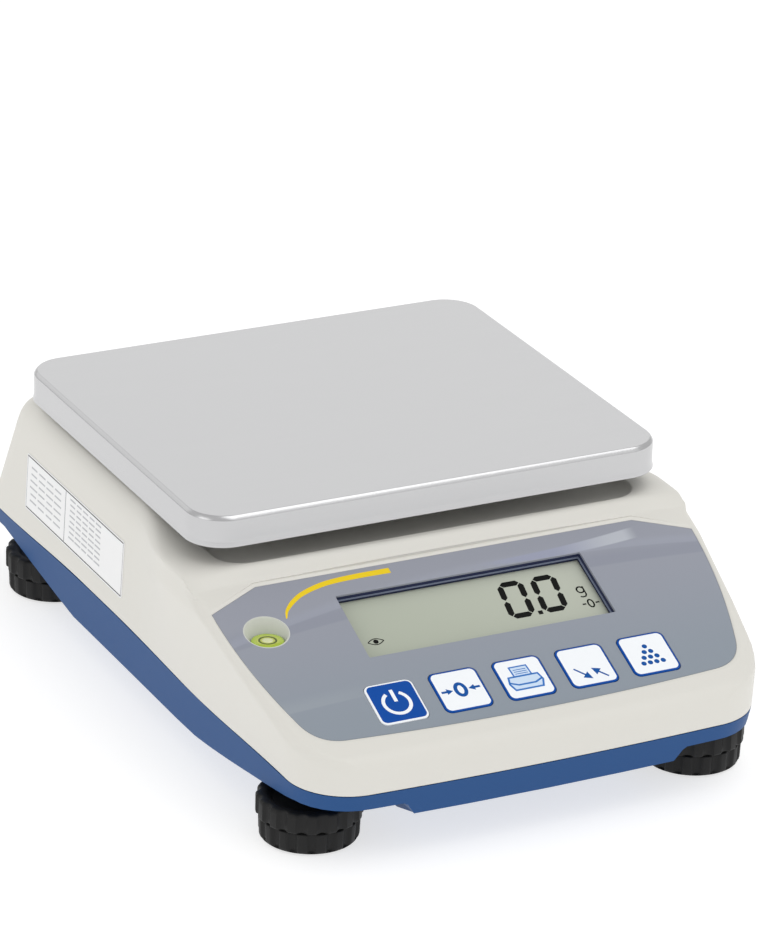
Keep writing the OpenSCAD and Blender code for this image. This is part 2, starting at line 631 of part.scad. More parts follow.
// Space over a foot: the underside rises along a curve from y0, and its inner side is slanted.
module foot_recess(y0, reach, bend) {
    n = 8;
    intersection() {
        rotate([90, 0, 90])
            linear_extrude(recess_x + 60)
                polygon(concat([[-body_half_l - 5, 0], [y0, 0]],
                    [for (i = [0:n])
                        let (t = i / n)
                        [y0 - reach * t, floor_z + (recess_z - floor_z) * pow(t, bend)]],
                    [[-body_half_l - 5, recess_z]]));
        rotate([90, 0, 0])
            linear_extrude(body_half_l + 10)
                polygon([[recess_x - 10, 0], [recess_x - 4.5, front_edge_z - 0.8],
                    [recess_x - 3.6, front_edge_z], [recess_x - 0.8, recess_z - 1],
                    [recess_x + 1.5, recess_z + 0.5], [recess_x + 60, recess_z + 0.5],
                    [recess_x + 60, 0]]);
    }
}
module lower_housing() {
    color([0.16, 0.31, 0.53])
        difference() {
            union() {
                difference() {
                    loft([for (z = [floor_z, floor_z + 0.5, floor_z + 1.2, front_edge_z,
                        recess_z + 0.3, seam_z - parting])
                        low_ring(z)], true);
                    translate([0, 0, recess_z + floor_t])
                        linear_extrude(20)
                            cavity_outline(wall + 0.4);
                    translate([-recess_x + floor_t, -low_front + 2, inner_floor])
                        cube([2 * (recess_x - floor_t), low_front + body_half_l - 8, 30]);
                    translate([-body_half_w + wall + 1.9, recess_front + 2, inner_floor])
                        cube([2 * (body_half_w - wall - 1.9), recess_rear - recess_front - 6, 30]);
                }
                for (c = corners)
                    translate([c[0] * foot_x, c[1] * foot_y, recess_z])
                        cylinder(r = foot_boss_r, h = insert_top - recess_z);
                for (p = boss_places, s = [-1, 1]) {
                    z = abs(p[1]) > 50 ? recess_z : inner_floor;
                    translate([s * p[0], p[1], z - eps])
                        cylinder(r = boss_r, h = seam_z + 3 - z);
                }
                translate([-cell_w / 2 - 2, cell_front + cell_l - 30, inner_floor - eps])
                    cube([cell_w + 4, 30, cell_z - inner_floor]);
                difference() {
                    translate([-battery_x - bay_shell, battery_front - bay_shell, inner_floor - eps])
                        cube([2 * (battery_x + bay_shell), battery_rear - battery_front + 2 * bay_shell,
                            battery_top - inner_floor + eps]);
                    translate([-battery_x, battery_front, inner_floor - 1])
                        cube([2 * battery_x, battery_rear - battery_front,
                            battery_top - bay_shell - inner_floor + 1]);
                }
                for (s = [-1, 1])
                    translate([s * (cover_x + 2) - 1.5, hinge_y - 2.4, inner_floor - eps])
                        cube([3, battery_rear - hinge_y + 2.4, hinge_z + hinge_r - inner_floor]);
                for (x = [board_x + 4, board_x + board_w - 4], y = [board_y + 4, board_y + board_l - 4])
                    translate([x, y, inner_floor - eps])
                        cylinder(r = 3, h = board_z - inner_floor);
                translate([0, cell_front + 10, inner_floor - eps])
                    cylinder(r = 7, h = 3);
            }
            for (s = [0, 1])
                mirror([s, 0, 0]) {
                    foot_recess(recess_front, 98, 1.5);
                    mirror([0, 1, 0])
                        foot_recess(-recess_rear, 74, 1.15);
                }
            for (c = corners)
                translate([c[0] * foot_x, c[1] * foot_y, front_edge_z])
                    cylinder(r = insert_r, h = insert_top);
            for (p = boss_places, s = [-1, 1]) {
                translate([s * p[0], p[1], 0])
                    cylinder(r = 1.9, h = 40);
                translate([s * p[0], p[1], 0])
                    cylinder(r = 3.3, h = recess_z + 3);
            }
            for (i = [0, 1])
                translate([0, cell_front + cell_l - 8 - i * cell_bolt, 0]) {
                    cylinder(r = 5.3, h = floor_z + 4);
                    cylinder(r = m6_r + 0.3, h = 40);
                }
            translate([-cover_x, battery_front + 1, 0])
                cube([2 * cover_x, battery_rear - battery_front - 1, inner_floor + eps]);
            translate([-cover_x - 3.5, hinge_y, hinge_z])
                rotate([0, 90, 0])
                    cylinder(r = hinge_pin_r + run_fit, h = 2 * cover_x + 7);
            translate([0, cell_front + 10, inner_floor])
                cylinder(r = 3, h = 10);
        }
}

// Overlay, display and keys.
module keypad_overlay() {
    color([0.6, 0.63, 0.66])
        difference() {
            on_console(0, 0, overlay_recess)
                linear_extrude(overlay_t)
                    difference() {
                        overlay_outline();
                        translate([0, window_v])
                            square([window_w, window_h], center = true);
                        for (i = [0:4])
                            translate([key_centre + (i - 2) * key_pitch, -key_row])
                                rounded(key_size + 2 * key_gap, key_size + 2 * key_gap, key_corner_r);
                    }
            translate([-level_x, level_y, level_seat])
                cylinder(r = level_d / 2, h = 30);
        }
}
frame_wall = 1.2;
module display_frame() {
    color([0.2, 0.22, 0.3])
        on_console(0, window_v, board_depth)
            linear_extrude(board_depth - overlay_recess)
                difference() {
                    square([window_w + 2 * frame_wall - 0.1, window_h + 2 * frame_wall - 0.1], center = true);
                    square([window_w, window_h], center = true);
                }
}
module display_glass() {
    color([0.74, 0.78, 0.66])
        on_console(0, window_v, glass_depth + 2.8)
            linear_extrude(2.8)
                square([window_w - 0.1, window_h - 0.1], center = true);
}
key_top = overlay_recess - overlay_t - 0.25;
pad_thick = 1;
module key_cap(i, tone) {
    color(tone)
        on_console(key_centre + (i - 2) * key_pitch, -key_row) {
            translate([0, 0, -key_top - pad_thick])
                linear_extrude(pad_thick)
                    rounded(key_size, key_size, key_corner_r);
            translate([0, 0, -board_depth + switch_h + key_travel + 0.2])
                cylinder(r = 3, h = board_depth - switch_h - key_travel - 0.2 - key_top - pad_thick / 2);
            translate([0, 0, -board_depth + 1 + key_travel + 0.2])
                cylinder(r = plunger_r, h = switch_h);
        }
}
switch_h = 3.6;
plunger_r = 1.6;
module key_power() {
    key_cap(0, [0.05, 0.3, 0.65]);
}
module key_zero() {
    key_cap(1, "white");
}
module key_print() {
    key_cap(2, "white");
}
module key_unit() {
    key_cap(3, "white");
}
module key_count() {
    key_cap(4, "white");
}
module display_board() {
    color([0.1, 0.4, 0.2])
        on_console(0, 16, board_depth + board_t)
            linear_extrude(board_t)
                difference() {
                    square([130, 68], center = true);
                    for (p = post_places)
                        translate([p[0], p[1] - 16])
                            circle(r = 1.3);
                }
}
module tact_switches() {
    color([0.15, 0.15, 0.16])
        key_places()
            translate([0, 0, -board_depth])
                difference() {
                    linear_extrude(switch_h)
                        square([6, 6], center = true);
                    translate([0, 0, 1])
                        cylinder(r = plunger_r + run_fit, h = switch_h);
                }
}
module level_vial() {
    color([0.72, 0.85, 0.3])
        translate([-level_x, level_y, level_seat])
            difference() {
                cylinder(r = level_d / 2 - 0.2, h = 3.4);
                translate([0, 0, 2.9])
                    cylinder(r = level_d / 2 - 1.4, h = 1);
            }
}

// Boards, battery and wiring.
module main_board() {
    color([0.08, 0.35, 0.18])
        translate([board_x, board_y, board_z])
            difference() {
                cube([board_w, board_l, board_t]);
                for (x = [4, board_w - 4], y = [4, board_l - 4])
                    translate([x, y, -1])
                        cylinder(r = 1.5, h = 4);
            }
}
module board_parts() {
    z = board_z + board_t;
    color([0.15, 0.15, 0.16])
        translate([board_x, board_y, z]) {
            translate([5, 27, 0])
                cube([14, 14, 1.6]);
            translate([7, board_l - 19, 0])
                cube([8, 12, 1.8]);
            translate([3, board_l - 32, 0])
                cube([12, 8, 5]);
            translate([17, board_l - 20, 0])
                cube([12, 11, 7]);
            translate([5, 9, 0])
                cube([20, 5, 6]);
            for (y = [board_l - 38, board_l - 27])
                translate([24, y, 0])
                    cylinder(r = 4, h = 11);
            for (x = [15, 23])
                translate([x, 20, 0])
                    cylinder(r = 3, h = 7);
        }
}
module board_ribbon() {
    w = 16;
    start = [board_y + 11.5, board_z + board_t + 6];
    end = [34 - console_y, console_z + 0.6];
    p = [for (t = [[0, 0], [0.35, 0.29], [0.65, 0.53], [0.86, 0.7], [1, 1]])
        start + [t[0] * (end[0] - start[0]), t[1] * (end[1] - start[1])]];
    z_end = 0.9;
    color([0.7, 0.7, 0.72])
        translate([board_x + 8, 0, 0])
            rotate([90, 0, 90])
                linear_extrude(w)
                    polygon(concat(p, [for (i = [len(p) - 1:-1:0]) p[i] + [0, z_end]]));
}
module battery_cells() {
    n = 6;
    color([0.25, 0.35, 0.3])
        for (i = [0:n - 1])
            translate([(i - (n - 1) / 2) * (2 * cell_r + cell_gap), battery_mid - cell_len / 2,
                hinge_z + hinge_r + 0.4 + cell_r])
                rotate([-90, 0, 0]) {
                    cylinder(r = cell_r, h = cell_len - 1.2);
                    cylinder(r = 2.7, h = cell_len);
                }
}
module battery_contacts() {
    color([0.75, 0.72, 0.6])
        for (s = [-1, 1], i = [-1:1])
            translate([i * 2 * (2 * cell_r + cell_gap) - 2 * cell_r + 1,
                battery_mid + s * (cell_len / 2 + 0.4) - 0.3, hinge_z + hinge_r + cell_r - 4])
                cube([4 * cell_r - 2, 0.6, 9]);
}
module battery_cover() {
    gap = 0.5;
    front = battery_front + 1 + gap;
    w = 2 * (cover_x - gap);
    color([0.15, 0.29, 0.5])
        difference() {
            union() {
                translate([-w / 2, front, floor_z])
                    cube([w, hinge_y - front, 2.2]);
                translate([-w / 2, hinge_y, hinge_z])
                    rotate([0, 90, 0])
                        cylinder(r = hinge_r, h = w);
                translate([-w / 2 - 3, hinge_y, hinge_z])
                    rotate([0, 90, 0])
                        cylinder(r = hinge_pin_r, h = w + 6);
                translate([-9, front + 0.3, floor_z + 1])
                    cube([18, 1.4, 3.4]);
            }
            for (i = [0:3])
                translate([-14, front + 6 + i * 2.4, floor_z - 1])
                    cube([28, 1.1, 1.6]);
        }
}

// Sockets in the rear bay.
serial_x = -18;
serial_z = 47;
power_x = 26;
power_r = 5.5;
module serial_socket() {
    color([0.7, 0.7, 0.72])
        translate([serial_x, bay_y, serial_z])
            rotate([-90, 0, 0])
                difference() {
                    union() {
                        linear_extrude(0.8)
                            square([30.8, 12.4], center = true);
                        translate([0, 0, 0.8 - eps])
                            linear_extrude(5.8)
                                polygon([[-9.1, -4.2], [9.1, -4.2], [8, 4.2], [-8, 4.2]]);
                        translate([0, 0, -9])
                            linear_extrude(9 + eps)
                                square([19.4, 11], center = true);
                    }
                    for (r = [0, 1], i = [0:4 - r])
                        translate([(i - (4 - r) / 2) * 2.77, -1.42 + r * 2.84, 1])
                            cylinder(r = 0.6, h = 8);
                    for (s = [-1, 1])
                        translate([s * jack_pitch / 2, 0, -2])
                            cylinder(r = 1.7, h = 5);
                }
}
module jack_screws() {
    color([0.6, 0.6, 0.62])
        for (s = [-1, 1])
            translate([serial_x + s * jack_pitch / 2, bay_y + 0.8, serial_z])
                rotate([-90, 0, 0])
                    difference() {
                        union() {
                            cylinder(r = 2.7, h = 5, $fn = 6);
                            translate([0, 0, -7])
                                cylinder(r = 1.4, h = 7 + eps);
                        }
                        translate([0, 0, 0.8])
                            cylinder(r = jack_r, h = 6);
                    }
}
module power_socket() {
    color([0.1, 0.1, 0.1])
        translate([power_x, bay_y, serial_z])
            rotate([-90, 0, 0])
                difference() {
                    union() {
                        translate([0, 0, -12])
                            cylinder(r = power_r, h = 13);
                        cylinder(r = power_r + 1.4, h = 1.6);
                    }
                    difference() {
                        translate([0, 0, -8])
                            cylinder(r = 3.1, h = 12);
                        translate([0, 0, -9])
                            cylinder(r = 1, h = 9);
                    }
                }
}

// Fasteners, label and feet.
module housing_screws() {
    color([0.4, 0.4, 0.42])
        for (p = boss_places, s = [-1, 1])
            translate([s * p[0], p[1], recess_z + 3])
                mirror([0, 0, 1])
                    screw(3, 2, 1.5, 12);
}
label_l = 88;
label_h = 21.5;
label_y = body_half_l - 83.5;
label_z = 48.5;
label_t = 0.25;
module rating_label() {
    color([0.95, 0.95, 0.95])
        difference() {
            translate([-half_w(label_y, label_z), label_y, label_z])
                rotate([0, 90 + side_lean, 0])
                    translate([-label_h / 2, -label_l / 2, -label_t])
                        cube([label_h, label_l, label_t + 0.3]);
            loft([for (z = outer_levels) ring(z)]);
        }
}
module foot_inserts() {
    color([0.8, 0.65, 0.3])
        for (c = corners)
            translate([c[0] * foot_x, c[1] * foot_y, recess_z])
                difference() {
                    cylinder(r = insert_r, h = insert_top - recess_z);
                    translate([0, 0, -1])
                        cylinder(r = stud_d / 2 + run_fit, h = 40);
                }
}
neck_r = 4;
module knob(c) {
    r = knob_d / 2;
    tier_z = sole_t + 5.4;
    groove_top = knob_top - 3.2;
    color([0.13, 0.13, 0.13])
        translate([c[0] * foot_x, c[1] * foot_y, 0])
            difference() {
                union() {
                    rotate_extrude()
                        polygon([[0, sole_t + side_gap], [r - 2.8, sole_t + side_gap], [r - 1.3, sole_t + 2],
                            [r - 0.9, tier_z], [r - 0.1, tier_z + 0.4],
                            [r, groove_top - 0.4], [r - 0.4, groove_top],
                            [r - 0.7, knob_top - 0.5], [r - 1.3, knob_top],
                            [r - 4, knob_top], [r - 5.5, knob_top - 1.6],
                            [0, knob_top - 1.6]]);
                    translate([0, 0, knob_top - 2])
                        cylinder(r = stud_d / 2, h = insert_top - knob_top);
                }
                for (i = [0:knob_grooves - 1])
                    rotate([0, 0, 360 * i / knob_grooves])
                        translate([r + 0.3, 0, -1])
                            cylinder(r = 1.4, h = groove_top + 0.2);
                cylinder(r = neck_r + run_fit, h = sole_t + 6);
            }
}
module sole(c) {
    color([0.2, 0.2, 0.2])
        translate([c[0] * foot_x, c[1] * foot_y, 0]) {
            cylinder(r1 = knob_d / 2 - 3.4, r2 = knob_d / 2 - 2.6, h = sole_t, $fn = 64);
            cylinder(r = neck_r, h = sole_t + 5.4);
        }
}
module knob_front_left() {
    knob(corners[0]);
}
module knob_front_right() {
    knob(corners[1]);
}
module knob_rear_left() {
    knob(corners[2]);
}
module knob_rear_right() {
    knob(corners[3]);
}
module sole_front_left() {
    sole(corners[0]);
}
module sole_front_right() {
    sole(corners[1]);
}
module sole_rear_left() {
    sole(corners[2]);
}
module sole_rear_right() {
    sole(corners[3]);
}

weighing_pan();
pan_support();
support_pads();
support_bridge();
bridge_screws();
load_cell();
cell_screws();
overload_stop();
cell_lead();
upper_housing();
lower_housing();
keypad_overlay();
display_frame();
display_glass();
key_power();
key_zero();
key_print();
key_unit();
key_count();
display_board();
tact_switches();
level_vial();
main_board();
board_parts();
board_ribbon();
battery_cells();
battery_contacts();
battery_cover();
serial_socket();
jack_screws();
power_socket();
housing_screws();
rating_label();
foot_inserts();
knob_front_left();
knob_front_right();
knob_rear_left();
knob_rear_right();
sole_front_left();
sole_front_right();
sole_rear_left();
sole_rear_right();
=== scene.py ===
# %% [markdown]
# # A counting scale on a bench
#
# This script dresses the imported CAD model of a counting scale. The CAD model stays where it is.
# Smooth skins, printed marks and small parts are built over it, and each rides on the CAD body
# that it belongs to, so that they move with the joints.
#
# All the lengths below are in millimetres. A mesh is scaled to metres when it is made.

# %% Load the frame and measure it
import json
import math

import bmesh
import bpy
import numpy as np
from mathutils import Matrix, Vector

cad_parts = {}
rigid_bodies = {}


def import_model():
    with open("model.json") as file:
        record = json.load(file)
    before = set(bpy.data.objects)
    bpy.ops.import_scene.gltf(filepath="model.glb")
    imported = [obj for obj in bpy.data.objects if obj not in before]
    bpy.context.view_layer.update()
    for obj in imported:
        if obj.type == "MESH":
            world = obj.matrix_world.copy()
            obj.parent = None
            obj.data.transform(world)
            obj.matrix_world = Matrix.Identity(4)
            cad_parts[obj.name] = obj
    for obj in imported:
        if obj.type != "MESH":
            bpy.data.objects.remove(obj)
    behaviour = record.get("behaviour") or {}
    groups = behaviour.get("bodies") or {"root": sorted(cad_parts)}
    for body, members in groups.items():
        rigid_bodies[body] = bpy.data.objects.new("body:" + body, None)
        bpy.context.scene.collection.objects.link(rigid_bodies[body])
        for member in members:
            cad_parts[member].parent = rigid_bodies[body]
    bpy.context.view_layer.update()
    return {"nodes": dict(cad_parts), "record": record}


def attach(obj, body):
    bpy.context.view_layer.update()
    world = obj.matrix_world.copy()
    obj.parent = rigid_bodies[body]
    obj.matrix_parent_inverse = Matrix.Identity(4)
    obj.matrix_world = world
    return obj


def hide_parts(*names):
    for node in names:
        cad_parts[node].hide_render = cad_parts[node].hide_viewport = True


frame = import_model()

# %% [markdown]
# ## The camera
#
# The photograph shows the scale from its left front. The focal length and the turn of the camera
# were worked out from the keys, which are true squares, and from the straight edges of the pan.

# %% Camera from the photograph
YAW, PITCH, ROLL = (math.radians(angle) for angle in (-26.934, 22.981, 1.609))
FOCAL_PIXELS = 4913.09
PHOTO_HEIGHT = 938
SENSOR = 36
forward = Vector((-math.sin(YAW) * math.cos(PITCH), math.cos(YAW) * math.cos(PITCH), -math.sin(PITCH)))
level = Vector((math.cos(YAW), math.sin(YAW), 0))
upward = level.cross(forward)
right = level * math.cos(ROLL) + upward * math.sin(ROLL)
up = upward * math.cos(ROLL) - level * math.sin(ROLL)
eye = -(right * -0.0061035 + up * -0.0718123 + forward * 1.769693)

camera_data = bpy.data.cameras.new("camera")
camera_data.sensor_width = SENSOR
camera_data.lens = FOCAL_PIXELS * SENSOR / PHOTO_HEIGHT
camera = bpy.data.objects.new("camera", camera_data)
bpy.context.scene.collection.objects.link(camera)
turn = np.array([right, up, -forward]).T
camera.matrix_world = Matrix([[*turn[i], eye[i]] for i in range(3)] + [[0, 0, 0, 1]])
bpy.context.scene.camera = camera
print("camera at", [round(c, 4) for c in eye], "lens", round(camera_data.lens, 1))

# %% [markdown]
# ## Shader maths
#
# A node socket is wrapped so that `a * 2 + b` builds Math nodes. The wrapper keeps the long
# chains that place a print on a surface readable.

# %% Sockets that can be added and multiplied
def linear(r, g, b):
    """A colour from 0 to 255, as it looks on a screen, turned into the linear values of a shader."""
    def one(c):
        c = c / 255
        return c / 12.92 if c <= 0.04045 else ((c + 0.055) / 1.055) ** 2.4
    return (one(r), one(g), one(b), 1.0)


class Sock:
    def __init__(self, tree, socket):
        self.tree = tree
        self.socket = socket

    def math(self, operation, *others):
        node = self.tree.node("ShaderNodeMath", {"operation": operation}, {0: self})
        for i, other in enumerate(others):
            self.tree.put(node.inputs[i + 1], other)
        return Sock(self.tree, node.outputs[0])

    def __add__(self, other):
        return self.math("ADD", other)

    def __sub__(self, other):
        return self.math("SUBTRACT", other)

    def __rsub__(self, other):
        return self * -1 + other

    def __mul__(self, other):
        return self.math("MULTIPLY", other)

    def __truediv__(self, other):
        return self.math("DIVIDE", other)

    __radd__ = __add__
    __rmul__ = __mul__

    def fade(self, low, high):
        """0 below low, 1 above high, smooth between."""
        node = self.tree.node("ShaderNodeMapRange", {"interpolation_type": "SMOOTHSTEP"},
                              {"Value": self, "From Min": low, "From Max": high})
        return Sock(self.tree, node.outputs[0])


class Tree:
    """Short ways to add nodes to a tree and to fill their sockets."""

    def node(self, kind, settings=None, values=None):
        node = self.nodes.new(kind)
        for key, value in (settings or {}).items():
            setattr(node, key, value)
        for key, value in (values or {}).items():
            self.put(node.inputs[key], value)
        return node

    def put(self, socket, value):
        if isinstance(value, Sock):
            self.links.new(value.socket, socket)
        else:
            socket.default_value = value


class Shade(Tree):
    """One material with a Principled shader."""

    def __init__(self, name, colour, roughness=0.5, metallic=0.0, **more):
        self.material = bpy.data.materials.new(name)
        self.material.use_nodes = True
        self.nodes = self.material.node_tree.nodes
        self.links = self.material.node_tree.links
        self.shader = self.nodes["Principled BSDF"]
        self.material.diffuse_color = colour
        self.put(self.shader.inputs["Base Color"], colour)
        self.put(self.shader.inputs["Roughness"], roughness)
        self.put(self.shader.inputs["Metallic"], metallic)
        for key, value in more.items():
            self.put(self.shader.inputs[key.replace("_", " ")], value)

    def place(self):
        """Object coordinates in millimetres, as x, y and z."""
        coords = self.node("ShaderNodeTexCoord")
        parts = self.node("ShaderNodeSeparateXYZ", values={0: Sock(self, coords.outputs["Object"])})
        return [Sock(self, output) * 1000 for output in parts.outputs]

    def noise(self, scale, detail=3.0, stretch=(1, 1, 1)):
        coords = self.node("ShaderNodeTexCoord")
        spot = Sock(self, coords.outputs["Object"])
        mapping = self.node("ShaderNodeMapping", values={"Vector": spot, "Scale": stretch})
        spot = Sock(self, mapping.outputs[0])
        noise = self.node("ShaderNodeTexNoise",
                          values={"Vector": spot, "Scale": scale, "Detail": detail})
        return Sock(self, noise.outputs[0])

    def blend(self, factor, a, b):
        node = self.node("ShaderNodeMix", {"data_type": "RGBA"}, {0: factor, 6: a, 7: b})
        return Sock(self, node.outputs[2])

    def colour(self, value):
        self.put(self.shader.inputs["Base Color"], value)

    def bump(self, height, strength, distance=0.0002):
        node = self.node("ShaderNodeBump",
                         values={"Height": height, "Strength": strength, "Distance": distance})
        self.put(self.shader.inputs["Normal"], Sock(self, node.outputs[0]))


print("shader helpers ready")

# %% [markdown]
# ## Materials
#
# Each material stands for one slot of the record. The housings are moulded with a fine grain, the
# pan is satin steel, the overlay is a printed film.

# %% Materials of the CAD nodes
# Each line gives a colour, the roughness, how metallic it is and its specular level. Two more
# numbers give the size and the strength of a fine grain.
TABLE = {
    "housing_white": (221, 219, 212, 0.42, 0, 0.3, 2600, 0.08),
    "housing_blue": (34, 78, 132, 0.5, 0, 0.22, 2600, 0.12),
    "steel_pan": (196, 196, 197, 0.3, 1, 0.5),
    "overlay_grey": (156, 162, 170, 0.4, 0, 0.25, 1500, 0.06),
    "frame_dark": (46, 50, 82, 0.45, 0, 0.5),
    "display_grey": (186, 194, 170, 0.3, 0, 0.5),
    "key_blue": (0, 74, 162, 0.4, 0, 0.12),
    "key_white": (246, 249, 252, 0.4, 0, 0.2),
    "level_green": (178, 205, 60, 0.18, 0, 0.5),
    "label_white": (240, 240, 240, 0.5, 0, 0.5),
    "rubber_black": (22, 22, 22, 0.75, 0, 0.2, 1800, 0.25),
    "knob_black": (26, 26, 26, 0.5, 0, 0.25, 1800, 0.12),
    "cast_alloy": (178, 180, 184, 0.5, 1, 0.5, 700, 0.3),
    "cell_alloy": (200, 201, 204, 0.3, 1, 0.5),
    "screw_steel": (150, 151, 155, 0.32, 1, 0.5),
    "insert_brass": (205, 170, 95, 0.3, 1, 0.5),
    "board_green": (28, 98, 52, 0.3, 0, 0.5),
    "parts_black": (34, 34, 36, 0.45, 0, 0.5),
    "ribbon_grey": (168, 168, 172, 0.5, 0, 0.5),
    "cell_jacket": (52, 74, 66, 0.3, 0, 0.5),
    "contact_nickel": (196, 190, 172, 0.25, 1, 0.5),
    "shell_nickel": (188, 188, 192, 0.28, 1, 0.5),
}
MATERIALS = {}
for name, (r, g, b, roughness, metallic, specular, *grain) in TABLE.items():
    shade = Shade(name, linear(r, g, b), roughness, metallic, Specular_IOR_Level=specular)
    if grain:
        shade.bump(shade.noise(grain[0], 2.0), grain[1], 0.0001)
    MATERIALS[name] = shade
white, blue, steel = (MATERIALS[name] for name in ("housing_white", "housing_blue", "steel_pan"))
steel.put(steel.shader.inputs["Roughness"], 0.24 + steel.noise(900, 2.0, (0.05, 1, 1)) * 0.04)
steel.bump(steel.noise(1500, 2.0, (0.04, 1, 1)), 0.015, 0.00005)

slots = {part["node"]: part["material_slot"] for part in frame["record"]["subparts"]}
for name, node in frame["nodes"].items():
    node.data.materials.clear()
    node.data.materials.append(MATERIALS[slots[name]].material)
print(len(frame["nodes"]), "CAD nodes have a material")

# %% [markdown]
# ## The form of the housing
#
# The same functions as in the CAD source give the outline of the housing at each height. Here they
# are sampled more finely, so that the skin is smooth.

# %% Sizes and outlines
SLOPE = math.radians(22.75)
CS, SN, TN = math.cos(SLOPE), math.sin(SLOPE), math.tan(SLOPE)
CONSOLE_Y, CONSOLE_Z = 110.0, 51.4
HALF_L, HALF_W, SEAM_Z, LIP_Z = 141.0, 89.2, 27.6, 77.0
FRONT_R, REAR_R, EDGE_R, SIDE_ROUND, WALL = 21.5, 12.0, 8.0, 3.5, 2.5
FRONT_LEAN, SIDE_LEAN, REAR_LEAN, STEP_ANGLE = 6, 3, 25.5, 52
FRONT_TAN, SIDE_TAN, REAR_TAN, STEP_TAN = (
    math.tan(math.radians(a)) for a in (FRONT_LEAN, SIDE_LEAN, REAR_LEAN, STEP_ANGLE))
CHEEK_Z, FLARE, LIP_HALF_W, LIP_R = 66.0, 9.34, 83.0, 10.0
FRONT_BOW, FRONT_TAPER, SEAM_ARCH, STEP_MARGIN, LIP_ROUND, REAR_ROUND = 1.6, 1.9, 2.2, 1.8, 1.5, 7
SHOULDER_H, LEDGE_H = 10.5, 2.6
OVERLAY_LOW, OVERLAY_BEND, OVERLAY_TOP = -9.7, 42.8, 51.6
OVERLAY_HALF_W, OVERLAY_TOP_HALF_W = 92.4, 72.7


def console_height(y):
    return CONSOLE_Z + (y + CONSOLE_Y) * TN


lean = math.radians(FRONT_LEAN)
edge_y = -HALF_L + FRONT_TAN * (console_height(0) - EDGE_R / CS - SEAM_Z) + EDGE_R / math.cos(lean)
edge_y = edge_y / (1 - FRONT_TAN * TN)
edge_z = console_height(edge_y) - EDGE_R / CS
edge_z1 = edge_z + EDGE_R * math.sin(lean)
edge_z2 = edge_z + EDGE_R * CS
step_y = -CONSOLE_Y + (OVERLAY_TOP + STEP_MARGIN) * CS
step_z = console_height(step_y)


def ramp(a, b, x):
    t = np.clip((x - a) / (b - a), 0, 1)
    return t * t * (3 - 2 * t)


def arc_loss(d, r):
    d = np.clip(d, 0, r)
    return r - np.sqrt(np.maximum(0, r * r - (r - d) ** 2))


def lip_curve(z, h):
    t = max(0.0, (z - LIP_Z + h) / h)
    return h * (1 - math.sqrt(max(0.0, 1 - t * t)))


def wall_front(z):
    return -HALF_L + (z - SEAM_Z) * FRONT_TAN


def front_y(z):
    if z < edge_z1:
        return wall_front(z)
    if z < edge_z2:
        return edge_y - math.sqrt(max(0.0, EDGE_R ** 2 - (z - edge_z) ** 2))
    if z < step_z:
        return -CONSOLE_Y + (z - CONSOLE_Z) / TN
    return step_y + (z - step_z) / STEP_TAN + lip_curve(z, LIP_ROUND)


def rear_y(z):
    return HALF_L - (z - SEAM_Z) * REAR_TAN - 0.6 * lip_curve(z, REAR_ROUND)


def cheek(y):
    return ramp(10, -42, y) * (1 - 0.3 * ramp(-100, -130, y))


def side_w(y, z):
    rise = min(1.0, max(0.0, (z - SEAM_Z) / (CHEEK_Z - SEAM_Z)))
    taper = FRONT_TAPER * ramp(-40, -118, y)
    return HALF_W - taper - (z - SEAM_Z) * SIDE_TAN + FLARE * cheek(y) * rise


def shoulder(y, z):
    h = SHOULDER_H + (LEDGE_H - SHOULDER_H) * cheek(y)
    t = np.clip((z - LIP_Z + h) / h, 0, 1)
    return (side_w(y, LIP_Z) - LIP_HALF_W) * (1 - np.sqrt(1 - t * t))


def lip_corner(y, z):
    reach = max(0.001, 1.15 * ((z - CONSOLE_Z) / TN - CONSOLE_Y - front_y(z)))
    d = np.clip((y - front_y(z)) / reach, 0, 1)
    width = side_w(y, z) - shoulder(y, z) - (LIP_HALF_W - LIP_R)
    return width * ramp(step_z, step_z + 0.8, z) * (1 - np.sqrt(1 - (1 - d) ** 2))


def half_w(y, z):
    return (side_w(y, z) - shoulder(y, z) - lip_corner(y, z)
            - arc_loss(y - wall_front(min(z, CHEEK_Z)), FRONT_R) - arc_loss(rear_y(z) - y, REAR_R))


def edge_loss(y, z):
    r = SIDE_ROUND * float(ramp(edge_z1 - 1, edge_z2, z) * (1 - ramp(step_z - 2, step_z + 1, z)))
    length = max(0.5, r / SN)
    t = np.clip((y - front_y(z)) / length, 0, 1)
    return r * (1 - np.sqrt(1 - (1 - t) ** 2))


def seam_rise(y, z):
    return SEAM_ARCH * (1 - ramp(0, 14, abs(z - SEAM_Z))) * ramp(-75, 20, y) * (1 - ramp(50, 125, y))


FRONT_N, SIDE_N, REAR_N = 20, 110, 14
FRONT_T = np.concatenate([
    np.linspace(-0.985, -0.72, 12), np.linspace(-0.66, 0.66, 14), np.linspace(0.72, 0.985, 12)])


